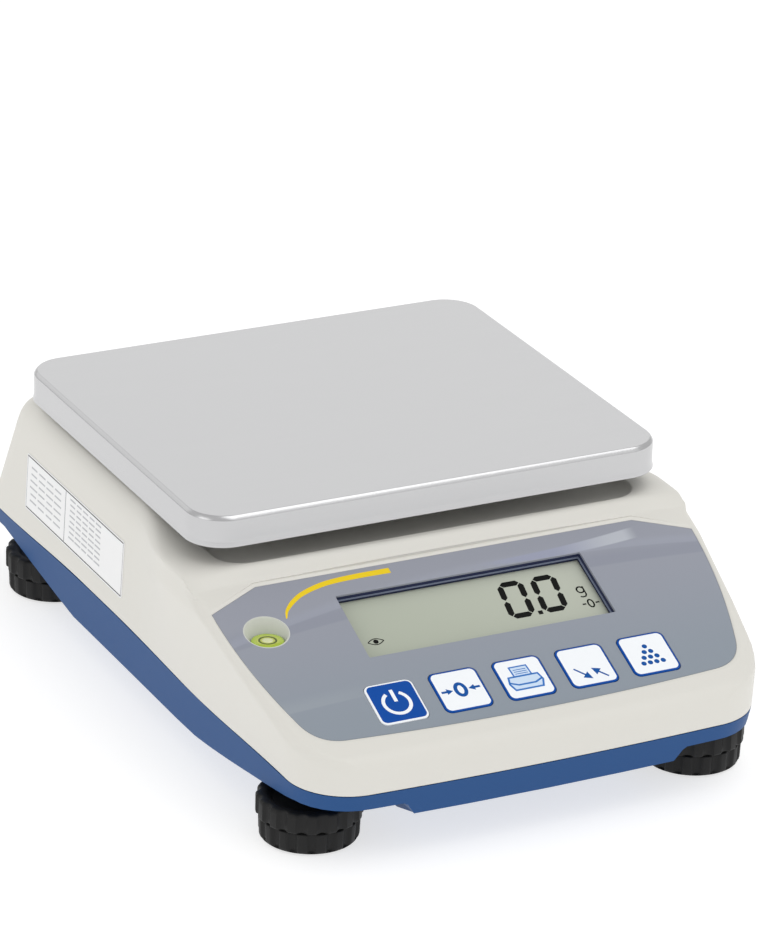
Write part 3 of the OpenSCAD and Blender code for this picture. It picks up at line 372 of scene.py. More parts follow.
def ring(z, inset=0.0, at=None):
    """One closed outline of the housing: front from left to right, right side, rear, left side."""
    ya, yb = front_y(z) + inset, rear_y(z) - inset
    at = z if at is None else at
    a = np.radians(90 * np.arange(FRONT_N + 1) / FRONT_N)
    b = np.radians(90 * np.arange(1, REAR_N + 1) / REAR_N)
    ys = np.concatenate([
        ya + FRONT_R * (1 - np.cos(a)),
        np.linspace(ya + FRONT_R, yb - REAR_R, SIDE_N + 1)[1:],
        yb - REAR_R + REAR_R * np.sin(b)])
    sample = np.clip(ys - inset * np.where(ys < 0, 1, -1), front_y(z), rear_y(z))
    xs = half_w(sample, z) - edge_loss(np.maximum(ys - inset, front_y(z)), z) - inset
    side = np.stack([xs, ys, at + seam_rise(ys, z)], 1)
    bow = ya - FRONT_BOW * (1 - FRONT_T ** 2)
    front = np.stack([xs[0] * FRONT_T, bow, np.full(len(FRONT_T), at + seam_rise(ya, z))], 1)
    t = np.linspace(1, -1, 14)[1:-1]
    rear = np.stack([xs[-1] * t, np.full(len(t), yb), np.full(len(t), at + seam_rise(yb, z))], 1)
    left = side[::-1] * np.array([-1, 1, 1])
    return np.concatenate([front, side, rear, left])


print("points round the housing:", len(ring(40.0)))

# %% [markdown]
# ## Helpers that make meshes
#
# `mesh_object` makes an object at the origin from points in millimetres. `stitched` joins a stack
# of outlines by faces; when it is closed, the last outline joins the first, like a tyre.

# %% Mesh helpers
def mesh_object(name, points, faces, shade, smooth=30):
    mesh = bpy.data.meshes.new(name)
    mesh.from_pydata((np.asarray(points, float) * 0.001).tolist(), [], faces)
    mesh.materials.append(shade.material)
    obj = bpy.data.objects.new(name, mesh)
    bpy.context.scene.collection.objects.link(obj)
    tidy(obj, smooth)
    return obj


def tidy(obj, smooth=30):
    """Makes the faces look outwards and shades them smooth up to an angle. A face with many
    corners is flat, and its edges stay sharp so that it is also shaded flat."""
    bm = bmesh.new()
    bm.from_mesh(obj.data)
    bmesh.ops.remove_doubles(bm, verts=bm.verts, dist=1e-6)
    bmesh.ops.recalc_face_normals(bm, faces=bm.faces)
    limit = math.radians(smooth)
    for face in bm.faces:
        face.smooth = True
    for edge in bm.edges:
        many = any(len(face.verts) > 4 for face in edge.link_faces)
        edge.smooth = not many and not (edge.is_manifold and edge.calc_face_angle(0.0) > limit)
    bm.to_mesh(obj.data)
    bm.free()
    return obj


def stitched(rings, closed=False):
    """Points and faces between outlines that have the same number of points."""
    n = len(rings[0])
    faces = []
    count = len(rings) if closed else len(rings) - 1
    for j in range(count):
        a, b = j * n, ((j + 1) % len(rings)) * n
        faces += [(a + i, a + (i + 1) % n, b + (i + 1) % n, b + i) for i in range(n)]
    return np.concatenate(rings), faces


def solid(name, rings, shade, smooth=30):
    """A body through a stack of outlines, with a cap at each end."""
    points, faces = stitched(rings)
    n = len(rings[0])
    faces += [tuple(range(n))[::-1], tuple(range(len(points) - n, len(points)))]
    return mesh_object(name, points, faces, shade, smooth)


def rounded(w, d, r, n=10, cx=0.0, cy=0.0):
    """A rectangle with round corners, anticlockwise from its lower right corner."""
    points = []
    for sx, sy, start in ((1, -1, 270), (1, 1, 0), (-1, 1, 90), (-1, -1, 180)):
        for i in range(n + 1):
            a = math.radians(start + 90 * i / n)
            points.append((cx + sx * (w / 2 - r) + r * math.cos(a),
                           cy + sy * (d / 2 - r) + r * math.sin(a)))
    return np.array(points)


def circle(r, n=48, cx=0.0, cy=0.0):
    a = np.radians(360 * np.arange(n) / n)
    return np.stack([cx + r * np.cos(a), cy + r * np.sin(a)], 1)


def lifted(outline, z):
    return np.column_stack([outline, np.full(len(outline), float(z))])


def prism(name, outline, z0, z1, shade, place=None):
    rings = [lifted(outline, z0), lifted(outline, z1)]
    if place:
        rings = [place(ring_) for ring_ in rings]
    return solid(name, rings, shade)


def on_console(points):
    """Console coordinates (across, up the slope, out of the plane) turned into the shared frame."""
    u, v, h = np.asarray(points, float).T
    return np.column_stack([u, -CONSOLE_Y + v * CS - h * SN, CONSOLE_Z + v * SN + h * CS])


def cut(obj, *tools, operation="DIFFERENCE"):
    """Takes the tools out of obj, or adds them to it, then deletes them."""
    for tool in tools:
        modifier = obj.modifiers.new("cut", "BOOLEAN")
        modifier.operation = operation
        modifier.solver = "EXACT"
        modifier.object = tool
        bake(obj)
        bpy.data.objects.remove(tool, do_unlink=True)
    return obj


def bake(obj):
    """Applies the modifiers: the evaluated mesh takes the place of the old one."""
    evaluated = obj.evaluated_get(bpy.context.evaluated_depsgraph_get())
    mesh = bpy.data.meshes.new_from_object(evaluated)
    obj.modifiers.clear()
    old = obj.data
    obj.data = mesh
    bpy.data.meshes.remove(old)
    obj.data.name = obj.name
    return obj


def soften(obj, width):
    """Rounds the sharp edges a little, as a mould does."""
    modifier = obj.modifiers.new("soft", "BEVEL")
    modifier.width = width * 0.001
    modifier.segments = 2
    modifier.limit_method = "ANGLE"
    modifier.angle_limit = math.radians(50)
    modifier.use_clamp_overlap = True
    bake(obj)
    return tidy(obj, 35)


def weigh(obj):
    """Lets the large faces rule the shading, so that a flat face beside a round edge looks flat."""
    modifier = obj.modifiers.new("weigh", "WEIGHTED_NORMAL")
    modifier.mode = "FACE_AREA"
    modifier.keep_sharp = True
    return bake(obj)


def show(obj, body, slot, *nodes):
    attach(obj, body)
    if nodes:
        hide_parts(*nodes)
    print(obj.name, "faces", len(obj.data.polygons))
    return obj


print("mesh helpers ready")

# %% [markdown]
# ## Upper housing
#
# The skin runs up the outside, over the lip, down into the pocket, up the collar round the throat,
# and back along the inside to the seam. Then the openings are cut.

# %% Upper housing
PAN_Y, POCKET_W, POCKET_D, POCKET_R, POCKET_Z = 23.3, 161.0, 156.5, 10.0, 74.4
THROAT_R, INNER_TOP = 32.0, POCKET_Z - WALL


def pocket_ring(inset, z, columns):
    """The pocket's outline, with one point for each column of the housing's outline."""
    dense = rounded(POCKET_W - 2 * inset, POCKET_D - 2 * inset, POCKET_R - inset, 40, 0, PAN_Y)
    steps = np.linspace(0, 1, 30)[:, None]
    fine = np.concatenate([a + (b - a) * steps for a, b in zip(dense, np.roll(dense, -1, 0))])
    gap = ((columns[:, None, :2] - fine[None]) ** 2).sum(2)
    return lifted(fine[gap.argmin(1)], z)


def throat_ring(r, z, columns):
    d = columns[:, :2] - np.array([0, PAN_Y])
    a = np.arctan2(d[:, 1], d[:, 0])
    return np.column_stack([r * np.cos(a), PAN_Y + r * np.sin(a), np.full(len(a), float(z))])


levels = np.concatenate([
    np.linspace(SEAM_Z + 0.6, edge_z1, 7),
    edge_z + EDGE_R * np.sin(lean + (math.pi / 2 - SLOPE - lean) * np.linspace(0, 1, 9)[1:]),
    np.linspace(edge_z2, CHEEK_Z, 13)[1:],
    np.linspace(CHEEK_Z, step_z - 0.3, 5)[1:],
    [step_z, step_z + 0.4, step_z + 0.8, step_z + 1.6, step_z + 2.4],
    LIP_Z - 2.4 * (1 - np.sin(np.radians(np.linspace(0, 90, 12)[1:])))])
outer = [ring(SEAM_Z, 0.5, SEAM_Z), ring(SEAM_Z + 0.2, 0.12, SEAM_Z + 0.2)]
outer += [ring(float(z)) for z in levels]
lip = outer[-1]
inside = [pocket_ring(inset, z, lip) for inset, z in
          ((-0.7, LIP_Z), (-0.3, LIP_Z - 0.06), (0.0, LIP_Z - 0.2), (0.35, LIP_Z - 0.5), (0.8, LIP_Z - 0.9),
           (1.6, LIP_Z - 1.4), (2.8, LIP_Z - 1.85), (4.2, LIP_Z - 2.2), (6.0, LIP_Z - 2.45), (8.5, POCKET_Z),
           (12.0, POCKET_Z))]
throat = [throat_ring(r, z, lip) for r, z in
          ((44, POCKET_Z), (THROAT_R + 3.4, POCKET_Z), (THROAT_R + 2.6, POCKET_Z + 0.8),
           (THROAT_R + 2.5, POCKET_Z + 3.7), (THROAT_R + 2.2, POCKET_Z + 4),
           (THROAT_R + 0.3, POCKET_Z + 4), (THROAT_R, POCKET_Z + 3.7), (THROAT_R, INNER_TOP - 6),
           (THROAT_R + 2.5, INNER_TOP - 6), (THROAT_R + 2.5, INNER_TOP))]
under = [pocket_ring(6, INNER_TOP, lip)]
for z in (INNER_TOP, INNER_TOP - 1.2, 66.0, 60.0, 52.0, 45.0, 41.0, 37.0, 33.0, SEAM_Z):
    shell_z = SEAM_Z + (z - SEAM_Z) * (LIP_Z - SEAM_Z) / (INNER_TOP - SEAM_Z)
    under.append(ring(shell_z, WALL, z))
points, faces = stitched(outer + inside + throat + under, closed=True)
upper = mesh_object("upper_skin", points, faces, white)


def offset(outline, d):
    """The outline moved outwards by d, along its own normals."""
    p = np.asarray(outline, float)
    before, after = p - np.roll(p, 1, 0), np.roll(p, -1, 0) - p
    a = before / np.linalg.norm(before, axis=1)[:, None]
    b = after / np.linalg.norm(after, axis=1)[:, None]
    t = (a + b) / np.linalg.norm(a + b, axis=1)[:, None]
    stretch = np.maximum(0.5, (t * b).sum(1))[:, None]
    return p + d * np.column_stack([t[:, 1], -t[:, 0]]) / stretch


def overlay_outline():
    """Half of the film is drawn, from the middle of its lower edge to its top, then mirrored."""
    v = OVERLAY_LOW + (OVERLAY_BEND - OVERLAY_LOW) * np.arange(13) / 12
    d = OVERLAY_BEND - v
    side = np.stack([OVERLAY_HALF_W - 0.03 * d - 0.0027 * d * d, v], 1)
    p0, p1, p2 = np.array([70, -20.7]), np.array([80.4, -20.0]), side[0]
    t = (np.arange(1, 14) / 14)[:, None]
    corner = (1 - t) ** 2 * p0 + 2 * t * (1 - t) * p1 + t * t * p2
    x = 70 * np.arange(13) / 12
    base = np.stack([x, -23 + 2.3 * (x / 70) ** 2], 1)
    half = np.concatenate([base, corner, side, [[OVERLAY_TOP_HALF_W, OVERLAY_TOP]]])
    return np.concatenate([half, half[1:][::-1] * np.array([-1, 1])])


def key_outline(i, grow, r=2.6):
    """The outline of a key, larger on each side by grow."""
    return rounded(KEY + 2 * grow, KEY + 2 * grow, r, 8, KEY_X + (i - 2) * PITCH_X, KEY_V)


def window_outline(grow, r=0.4):
    return rounded(WIN_W + grow, WIN_H + grow, r, 4, 0, WIN_V)


KEY, PITCH_X, KEY_X, KEY_V, GAP = 18.0, 24.0, 1.5, -9.0, 0.15
WIN_W, WIN_H, WIN_V = 94.2, 29.2, 26.7
LEVEL_X, LEVEL_R = -77.0, 7.3
level_y = -CONSOLE_Y + 30.6 * CS
level_z = console_height(level_y)
level_seat = level_z - 3.6 - LEVEL_R * TN
BAY_Y, BAY_Z0, BAY_Z1, BAY_W = 121.0, 34.0, 60.0, 92.0

well_mouth = np.array([[-77.2, 31.1]]) + circle(1.0, 64) * np.array([[7.9, 7.0]])
film = overlay_outline()
recess = [on_console(lifted(offset(film, grow), h)) for h, grow in
          ((-1.2, 0.08), (-0.36, 0.08), (-0.26, 0.2), (-0.14, 0.5), (-0.05, 0.9), (0.02, 1.5), (12, 1.6))]
cutters = [solid("cut_recess", recess, white),
           prism("cut_window", window_outline(2.4, 0.6), -25, 12, white, on_console)]
cutters += [prism("cut_key", key_outline(i, GAP), -2.2, 12, white, on_console) for i in range(5)]
bay = np.array([(-BAY_W / 2, BAY_Y), (BAY_W / 2, BAY_Y), (BAY_W / 2, 170), (-BAY_W / 2, 170)])
cutters += [prism("cut_level", offset(well_mouth, 0.5), -12, 12, white, on_console),
            prism("cut_bay", bay, BAY_Z0, BAY_Z1, white)]
tub = [np.array([(x, 118.8, 31.8), (x, 138.0, 31.8), (x, 123.5, 62.2), (x, 118.8, 62.2)])
       for x in (-48.2, 48.2)]
cut(upper, solid("add_tub", tub, white), operation="UNION")
cut(upper, *cutters)
weigh(tidy(upper, 32))
print("upper skin cut, faces", len(upper.data.polygons))
show(upper, "housing", "housing_white", "upper_housing")

# %% [markdown]
# ## Lower housing
#
# The blue base keeps every detail of the CAD model. A copy of its mesh is merged, so that the
# faces know their neighbours, and is then shaded smooth where the angles are small.

# %% Lower housing and other copies of CAD nodes
def copy_of(node, shade, smooth=28):
    """A merged copy of a CAD node, smooth where its faces are meant to be round."""
    source = frame["nodes"][node]
    mesh = source.data.copy()
    obj = bpy.data.objects.new(node + "_skin", mesh)
    obj.matrix_world = source.matrix_world
    bpy.context.scene.collection.objects.link(obj)
    mesh.transform(obj.matrix_world)
    obj.matrix_world = Matrix()
    mesh.materials.clear()
    mesh.materials.append(shade.material)
    return tidy(obj, smooth)


show(copy_of("lower_housing", blue, 25), "housing", "housing_blue", "lower_housing")

# %% [markdown]
# ## The pan
#
# The pan is pressed from sheet. Its profile runs from the middle of the underside out to the hem,
# over the hem and back to the middle of the top, and the same thickness is kept all along.

# %% Pan
PAN_W, PAN_D, PAN_TOP, PAN_RIM, PAN_R, PAN_EDGE, SHEET = 180.0, 158.0, 95.0, 11.4, 14.0, 1.8, 1.2
WALL_INSET = 0.35


def pan_ring(inset, z):
    r = max(1.0, PAN_R - inset)
    return lifted(rounded(PAN_W - 2 * inset, PAN_D - 2 * inset, r, 16, 0, PAN_Y), z)


quarter = np.radians(np.linspace(0, 90, 9))
profile = [(36, PAN_TOP - SHEET)]
inner_r = PAN_EDGE - SHEET
profile += [(PAN_EDGE - inner_r * math.cos(a), PAN_TOP - PAN_EDGE + inner_r * math.sin(a))
            for a in quarter[::-1]]
hem = PAN_TOP - PAN_RIM
profile += [(SHEET, hem + 0.3), (SHEET - 0.3, hem), (0.3, hem), (0, hem + 0.3), (0.02, hem + 0.8),
            (0.3, hem + 2.0), (WALL_INSET, hem + 2.6)]
# The pressed edge is round at both ends and nearly flat between them, so that it catches the
# light as one broad band. The list gives how far it leans over, in degrees, along its length.
steep = np.radians(np.interp(np.linspace(0, 1, 19), [0, 0.2, 0.8, 1], [0, 42, 58, 90]))
across = np.cumsum(np.sin(steep)) / np.sin(steep).sum()
upward = np.cumsum(np.cos(steep)) / np.cos(steep).sum()
profile += [(WALL_INSET + (PAN_EDGE - WALL_INSET) * a, PAN_TOP - PAN_EDGE + PAN_EDGE * u)
            for a, u in zip(across, upward)]
profile += [(3.0, PAN_TOP), (36, PAN_TOP)]
pan = solid("pan_skin", [pan_ring(inset, z) for inset, z in profile], steel, 40)
show(pan, "pan", "steel_pan", "weighing_pan")

# %% [markdown]
# ## The printed overlay
#
# The film lies in its recess. Soft diagonal bands were printed on it, and it gets lighter towards
# its top. A painted reflection, a soft light band, lies along the top of the left keys. All are made
# by the shader from the coordinates of the console, so that they stay on the film.

# %% Overlay
overlay_shade = Shade("overlay_print", linear(156, 162, 170), 0.38, Specular_IOR_Level=0.25)
x, y, z = overlay_shade.place()
along = (y + CONSOLE_Y) * (1 / CS)
sweep = along - (x * x) * -0.0006 - x * 0.035 - 33.5
band = sweep.fade(-0.6, 0.6) * (1 - sweep.fade(3.0, 9.0))
second = (along - x * 0.055 + (x * x) * 0.0011 - 41.0)
streak = second.fade(-0.4, 0.4) * (1 - second.fade(1.5, 5.0))
# Painted reflection: a soft light band along the top of the left keys, strongest at the film's left end.
low = along + (x * x) * 0.0004 + 2.5
painted_reflection = low.fade(-0.4, 0.4) * (1 - low.fade(1.0, 7.0)) * (x * -1).fade(30, 80)
tone = overlay_shade.blend(along.fade(-24, 44), linear(140, 149, 159), linear(151, 154, 165))
tone = overlay_shade.blend(band * 0.5, tone, linear(136, 140, 154))
tone = overlay_shade.blend(streak * 0.45, tone, linear(160, 164, 178))
tone = overlay_shade.blend(painted_reflection * 0.4, tone, linear(158, 165, 172))
floor_v = 41.4 + (x - 38) * (x - 38) * 0.0017
roof_v = 44.4 + (x - 9) * (x - 9) * 0.0011
inside = (along - floor_v).fade(0, 0.5) * (1 - (along - roof_v).fade(-0.4, 0.2))
inside = inside * x.fade(5, 24) * (1 - x.fade(66, 72))
swoosh = overlay_shade.blend(x.fade(36, 64), linear(154, 158, 178), linear(184, 188, 196))
tone = overlay_shade.blend(inside, tone, swoosh)
overlay_shade.colour(tone)
overlay_shade.bump(overlay_shade.noise(2600, 2.0), 0.04, 0.00005)

TOP = -0.3
overlay = prism("overlay_skin", film, -1.2, TOP, overlay_shade, on_console)
holes = [window_outline(0), well_mouth] + [key_outline(i, GAP) for i in range(5)]
cut(overlay, *[prism("cut_film", hole, -6, 6, white, on_console) for hole in holes])
weigh(soften(overlay, 0.12))
show(overlay, "housing", "overlay_grey", "keypad_overlay")

# %% [markdown]
# ## Marks as thin ink
#
# A mark is a thin plate that lies on its surface. `ink` takes outlines in console coordinates
# and joins them into one object.

# %% Ink helpers
def ink(name, shapes, height, shade, thick=0.03, place=on_console):
    """Flat marks with their tops at the height given. A shape is an outline, or a pen line."""
    points, faces = [], []
    for shape in shapes:
        if isinstance(shape, tuple):
            left, right_, closed = shape
            low = height - thick
            corners = [lifted(left, height), lifted(right_, height), lifted(right_, low), lifted(left, low)]
            new_points, new_faces = stitched(list(np.stack(corners, 1)), closed)
            if not closed:
                last = len(new_points) - 4
                new_faces += [(3, 2, 1, 0), (last, last + 1, last + 2, last + 3)]
        else:
            n = len(shape)
            new_points, new_faces = stitched([lifted(shape, height - thick), lifted(shape, height)])
            new_faces += [tuple(range(n))[::-1], tuple(range(n, 2 * n))]
        base = len(points)
        points += new_points.tolist()
        faces += [tuple(base + i for i in face) for face in new_faces]
    return mesh_object(name, place(np.array(points)), faces, shade, 30)


def stroke(points, width, closed=False):
    """A pen line: its two sides with mitred joints, and whether it closes on itself."""
    p = np.asarray(points, float)
    before, after = p - np.roll(p, 1, 0), np.roll(p, -1, 0) - p
    if not closed:
        before[0], after[-1] = after[0], before[-1]
    a = before / np.linalg.norm(before, axis=1)[:, None]
    b = after / np.linalg.norm(after, axis=1)[:, None]
    t = (a + b) / np.linalg.norm(a + b, axis=1)[:, None]
    half = np.broadcast_to(np.asarray(width, float), (len(p),)) / 2 / np.maximum(0.5, (t * b).sum(1))
    side = np.column_stack([-t[:, 1], t[:, 0]]) * half[:, None]
    return [(p - side, p + side, closed)]


def moved(shapes, dx, dy):
    step = np.array([dx, dy])
    done = []
    for shape in shapes:
        if isinstance(shape, tuple):
            done.append((shape[0] + step, shape[1] + step, shape[2]))
        else:
            done.append(np.asarray(shape) + step)
    return done


yellow = Shade("accent_yellow", linear(240, 207, 34), 0.4, Specular_IOR_Level=0.15)
key_ink = Shade("ink_blue", linear(8, 82, 160), 0.4, Specular_IOR_Level=0.12)
print_ink = Shade("ink_mid_blue", linear(52, 118, 196), 0.4, Specular_IOR_Level=0.12)
pale_blue = Shade("ink_pale_blue", linear(206, 224, 244), 0.4, Specular_IOR_Level=0.2)
lcd_ink = Shade("ink_lcd", linear(14, 15, 13), 0.5, Specular_IOR_Level=0.1)
key_white = MATERIALS["key_white"]

bend = np.array([(-67.9, 35.4), (-66.6, 38.6), (-63.4, 41.7), (-59.4, 44.4), (-54.4, 46.3), (-48.6, 47.7),
                 (-42.2, 48.3), (-33.0, 48.5), (-23.4, 48.4)])
t = np.linspace(0, len(bend) - 1, 41)
bend = np.stack([np.interp(t, range(len(bend)), bend[:, k]) for k in (0, 1)], 1)
for _ in range(3):
    bend[1:-1] = (bend[:-2] + 2 * bend[1:-1] + bend[2:]) / 4
widths = np.interp(np.linspace(0, 1, 41), [0, 0.25, 0.6, 1], [0.5, 1.6, 2.1, 2.4])
show(ink("accent_line", stroke(bend, widths), TOP + 0.03, yellow), "housing", "overlay_grey")

# %% [markdown]
# ## Keys and their signs
#
# Each key is a foil dome with a rolled edge. The signs are the usual ones for this kind of
# scale: power, zero, print, change of unit, and count.

# %% Keys
def key_skin(name, i, shade):
    rings = [on_console(lifted(key_outline(i, -inset, 2.6 - inset), h))
             for inset, h in ((0, -1.05), (0, -0.32), (0.08, -0.16), (0.25, -0.07), (0.6, KEY_TOP))]
    stem = [on_console(lifted(circle(r, 24, KEY_X + (i - 2) * PITCH_X, KEY_V), h))
            for r, h in ((1.6, -7.6), (1.6, -5.0), (3, -5.0), (3, -0.9))]
    return joined(solid(name, rings, shade, 40), solid(name + "_stem", stem, shade))


def joined(*objs):
    """Several meshes made into the first one."""
    bm = bmesh.new()
    for obj in objs:
        bm.from_mesh(obj.data)
    first = objs[0]
    bm.to_mesh(first.data)
    bm.free()
    for obj in objs[1:]:
        bpy.data.objects.remove(obj, do_unlink=True)
    return first


KEY_TOP, FACE_BORDER = -0.05, 0.75
names = ("power", "zero", "print", "unit", "count")
for i, name in enumerate(names):
    edge, middle = ("key_white", "key_blue") if i == 0 else ("key_blue", "key_white")
    key = "key_" + name
    show(key_skin(key + "_skin", i, MATERIALS[edge]), key, edge, key)
    field = [key_outline(i, -FACE_BORDER, 1.9)]
    show(ink(key + "_field", field, KEY_TOP + 0.03, MATERIALS[middle]), key, middle)


def ring_stroke(r, width, n=48, cx=0.0, cy=0.0, squash=1.0, a0=0.0, a1=360.0):
    closed = abs(a1 - a0 - 360) < 1e-6
    a = np.radians(np.linspace(a0, a1, n + (0 if closed else 1), endpoint=not closed))
    return stroke(np.stack([cx + r * np.cos(a), cy + r * squash * np.sin(a)], 1), width, closed)


def arrow(tail, head, width, tip):
    """A shaft with a three-cornered head."""
    tail, head = np.array(tail, float), np.array(head, float)
    d = (head - tail) / np.linalg.norm(head - tail)
    s = np.array([-d[1], d[0]])
    neck = head - d * tip
    tip_outline = np.array([neck - s * tip * 0.55, head, neck + s * tip * 0.55])
    return stroke([tail, neck + d * 0.1], width) + [tip_outline]


signs = {
    "power": ring_stroke(4.75, 1.25, 48, 0, -0.4, 1.0, 120, 420) + stroke([(0, 0.2), (0, 5.5)], 1.3),
    "zero": ring_stroke(1.75, 1.35, 32, 0, 0, 1.5) + arrow((-7.2, 0), (-2.9, 0), 0.9, 2.3)
            + arrow((7.2, 0), (2.9, 0), 0.9, 2.3),
    "unit": arrow((-5.4, -0.6), (-0.3, -6.0), 0.65, 3.0) + arrow((5.6, -6.2), (0.9, -1.4), 0.65, 3.0),
    "count": [circle(0.95, 20, (k - row / 2) * 2.5, 3.4 - row * 2.45)
              for row in range(4) for k in range(row + 1)],
    "print": stroke([(-3.3, 0.9), (-3.6, 5.2), (2.9, 5.2), (3.3, 0.9)], 0.55)
             + stroke([(-5.6, 0.9), (5.4, 0.9), (6.3, -2.0), (5.2, -4.9), (-5.2, -4.9), (-6.3, -2.0)],
                      0.7, True)
             + stroke([(-6.0, -1.5), (-3.2, -2.8), (3.2, -2.8), (6.0, -1.5)], 0.7),
}
for i, name in enumerate(names):
    shade = {"power": key_white, "print": print_ink}.get(name, key_ink)
    shapes = moved(signs[name], KEY_X + (i - 2) * PITCH_X, KEY_V)
    sign = ink("key_%s_sign" % name, shapes, KEY_TOP + 0.06, shade)
    show(sign, "key_" + name, "key_white" if i == 0 else "key_blue")
sheet_lines = []
for x0, x1, y in ((-2.4, 2.3, 2.0), (-2.5, 2.3, 2.9), (-2.6, 2.2, 3.8)):
    sheet_lines += stroke([(x0, y), (x1, y)], 0.3)
paper = [np.array([(-3.3, 0.9), (3.3, 0.9), (2.9, 5.2), (-3.6, 5.2)]),
         np.array([(-5.6, 0.85), (5.4, 0.85), (6.3, -2.0), (5.2, -4.9), (-5.2, -4.9), (-6.3, -2.0)])[::-1]]
paper = ink("key_print_paper", moved(paper, KEY_X, KEY_V), KEY_TOP + 0.05, pale_blue)
show(paper, "key_print", "key_white")
sheet_lines = ink("key_print_lines", moved(sheet_lines, KEY_X, KEY_V), KEY_TOP + 0.07, print_ink)
show(sheet_lines, "key_print", "key_blue")

# %% [markdown]
# ## The display
#
# The glass lies deep in a dark frame. The digits are separate dark segments with cut corners,
# as a liquid crystal shows them.

# %% Display
lcd = Shade("lcd_glass", linear(184, 190, 173), 0.3, Specular_IOR_Level=0.25)
x, y, z = lcd.place()
glow = ((x + 47) * (1 / 94) * 0.6 + (y + 100) * 0.008).fade(0, 1)
lcd.colour(lcd.blend(glow, linear(178, 184, 168), linear(190, 194, 181)))
LCD = -4.2
glass = prism("glass_skin", window_outline(-0.1, 0.3), -7.0, LCD, lcd, on_console)
show(weigh(soften(glass, 0.1)), "housing", "display_grey", "display_glass")

frame_shade = Shade("frame_dark_skin", linear(40, 46, 80), 0.5, Specular_IOR_Level=0.3)
well = prism("frame_skin", window_outline(2.3, 0.6), -9.2, -1.2, frame_shade, on_console)
cut(well, prism("cut_frame", window_outline(0), -12, 2, frame_shade, on_console))
show(weigh(soften(well, 0.12)), "housing", "frame_dark", "display_frame")
ledge_points, ledge_faces = stitched([
    on_console(lifted(window_outline(-d), h))
    for d, h in ((0.02, -2.75), (0.02, -2.5), (1.1, -2.5), (1.1, -2.75))], closed=True)
ledge_shade = Shade("frame_ledge", linear(120, 130, 152), 0.45)
show(mesh_object("frame_ledge", ledge_points, ledge_faces, ledge_shade), "housing", "frame_dark")


def segment(ax, ay, bx, by, w):
    """A bar with pointed ends, from a to b."""
    a, b = np.array([ax, ay], float), np.array([bx, by], float)
    d = (b - a) / np.linalg.norm(b - a)
    s = np.array([-d[1], d[0]]) * w / 2
    e = d * w / 2
    return np.array([a, a + e - s, b - e - s, b, b - e + s, a + e + s])


def digit(x0, y0, width, height, w, parts):
    """A seven-segment digit. Its segments are named a to g, from the top clockwise."""
    g = 0.22
    half, left, right_, low, high = height / 2, w / 2, width - w / 2, w / 2, height - w / 2
    places = {"a": (left + g, high, right_ - g, high), "g": (left + g, half, right_ - g, half),
              "d": (left + g, low, right_ - g, low), "b": (right_, half + g, right_, high - g),
              "c": (right_, low + g, right_, half - g), "e": (left, low + g, left, half - g),
              "f": (left, half + g, left, high - g)}
    return [segment(*places[p], w) + np.array([x0, y0]) for p in parts]


DIGIT_V, SLANT = 20.2, 0.1
digits = digit(11.2, DIGIT_V, 10.1, 17.0, 2.3, "abcdef") + digit(24.0, DIGIT_V, 10.1, 17.0, 2.3, "abcdef")
digits = [part + np.column_stack([(part[:, 1] - DIGIT_V) * SLANT, np.zeros(len(part))])
          for part in digits]
digits += [np.array([(22.2, 20.2), (23.9, 20.2), (24.0, 21.9), (22.3, 21.9)])]
unit_g = ring_stroke(1.3, 0.6, 24, 41.7, 27.8, 1.05)
unit_g += stroke([(43.0, 29.2), (43.0, 25.4), (42.4, 24.5), (41.2, 24.4), (40.5, 24.8)], 0.55)
zero_mark = ring_stroke(1.0, 0.6, 24, 42.7, 21.0, 1.75) + stroke([(39.5, 21.1), (40.9, 21.1)], 0.6)
zero_mark += stroke([(44.5, 21.0), (46.0, 21.0)], 0.6)
a = np.linspace(0, 1, 13)
eye_top = np.stack([-42.7 + 6.0 * a, 21.6 + 1.35 * np.sin(np.pi * a)], 1)
eye_low = np.stack([-42.7 + 6.0 * a, 21.6 - 1.35 * np.sin(np.pi * a)], 1)
steady = stroke(eye_top, 0.35) + stroke(eye_low, 0.35) + [circle(0.95, 20, -39.7, 21.6)]
marks = ink("lcd_marks", digits + unit_g + zero_mark + steady, LCD + 0.03, lcd_ink)
show(marks, "housing", "display_grey")

# %% [markdown]
# ## The bubble level
#
# The vial lies at the foot of a round well. Its bubble is a little dome on the green glass, and
# a dark ring marks the middle.

# %% Bubble level
def turned(name, profile, shade, cx=0.0, cy=0.0, n=64, smooth=35):
    """A body of revolution about a vertical axis, from (radius, height) pairs."""
    rings = [lifted(circle(max(r, 0.001), n, cx, cy), z) for r, z in profile]
    return solid(name, rings, shade, smooth)


S = level_seat
vial_shade = Shade("vial_green", linear(190, 206, 70), 0.15, Coat_Weight=0.4, Coat_Roughness=0.05)
x, y, z = vial_shade.place()
radius = ((x - LEVEL_X).math("POWER", 2) + (y - level_y).math("POWER", 2)).math("SQRT")
vial_shade.colour(vial_shade.blend(radius.fade(2.6, 5.4), linear(196, 204, 96), linear(176, 202, 62)))
vial_profile = ((0, 0), (7.0, 0), (7.1, 0.3), (7.1, 1.1), (6.9, 1.3), (5.7, 1.35), (5.65, 3.4),
                (5.4, 3.7), (5.0, 3.75), (0, 3.75))
vial = turned("vial_skin", [(r, S + z) for r, z in vial_profile], vial_shade, LEVEL_X, level_y)
show(vial, "housing", "level_green", "level_vial")
olive = Shade("vial_ring", linear(86, 100, 36), 0.4)
ring_points, ring_faces = stitched([
    lifted(circle(r, 48, LEVEL_X, level_y), S + z)
    for r, z in ((2.55, 3.74), (2.6, 3.85), (3.15, 3.85), (3.2, 3.74))], closed=True)
show(mesh_object("vial_ring", ring_points, ring_faces, olive), "housing", "level_green")
bubble_shade = Shade("vial_bubble", linear(222, 226, 176), 0.12, Coat_Weight=0.6, Coat_Roughness=0.03)
dome = [(1.9, S + 3.74)]
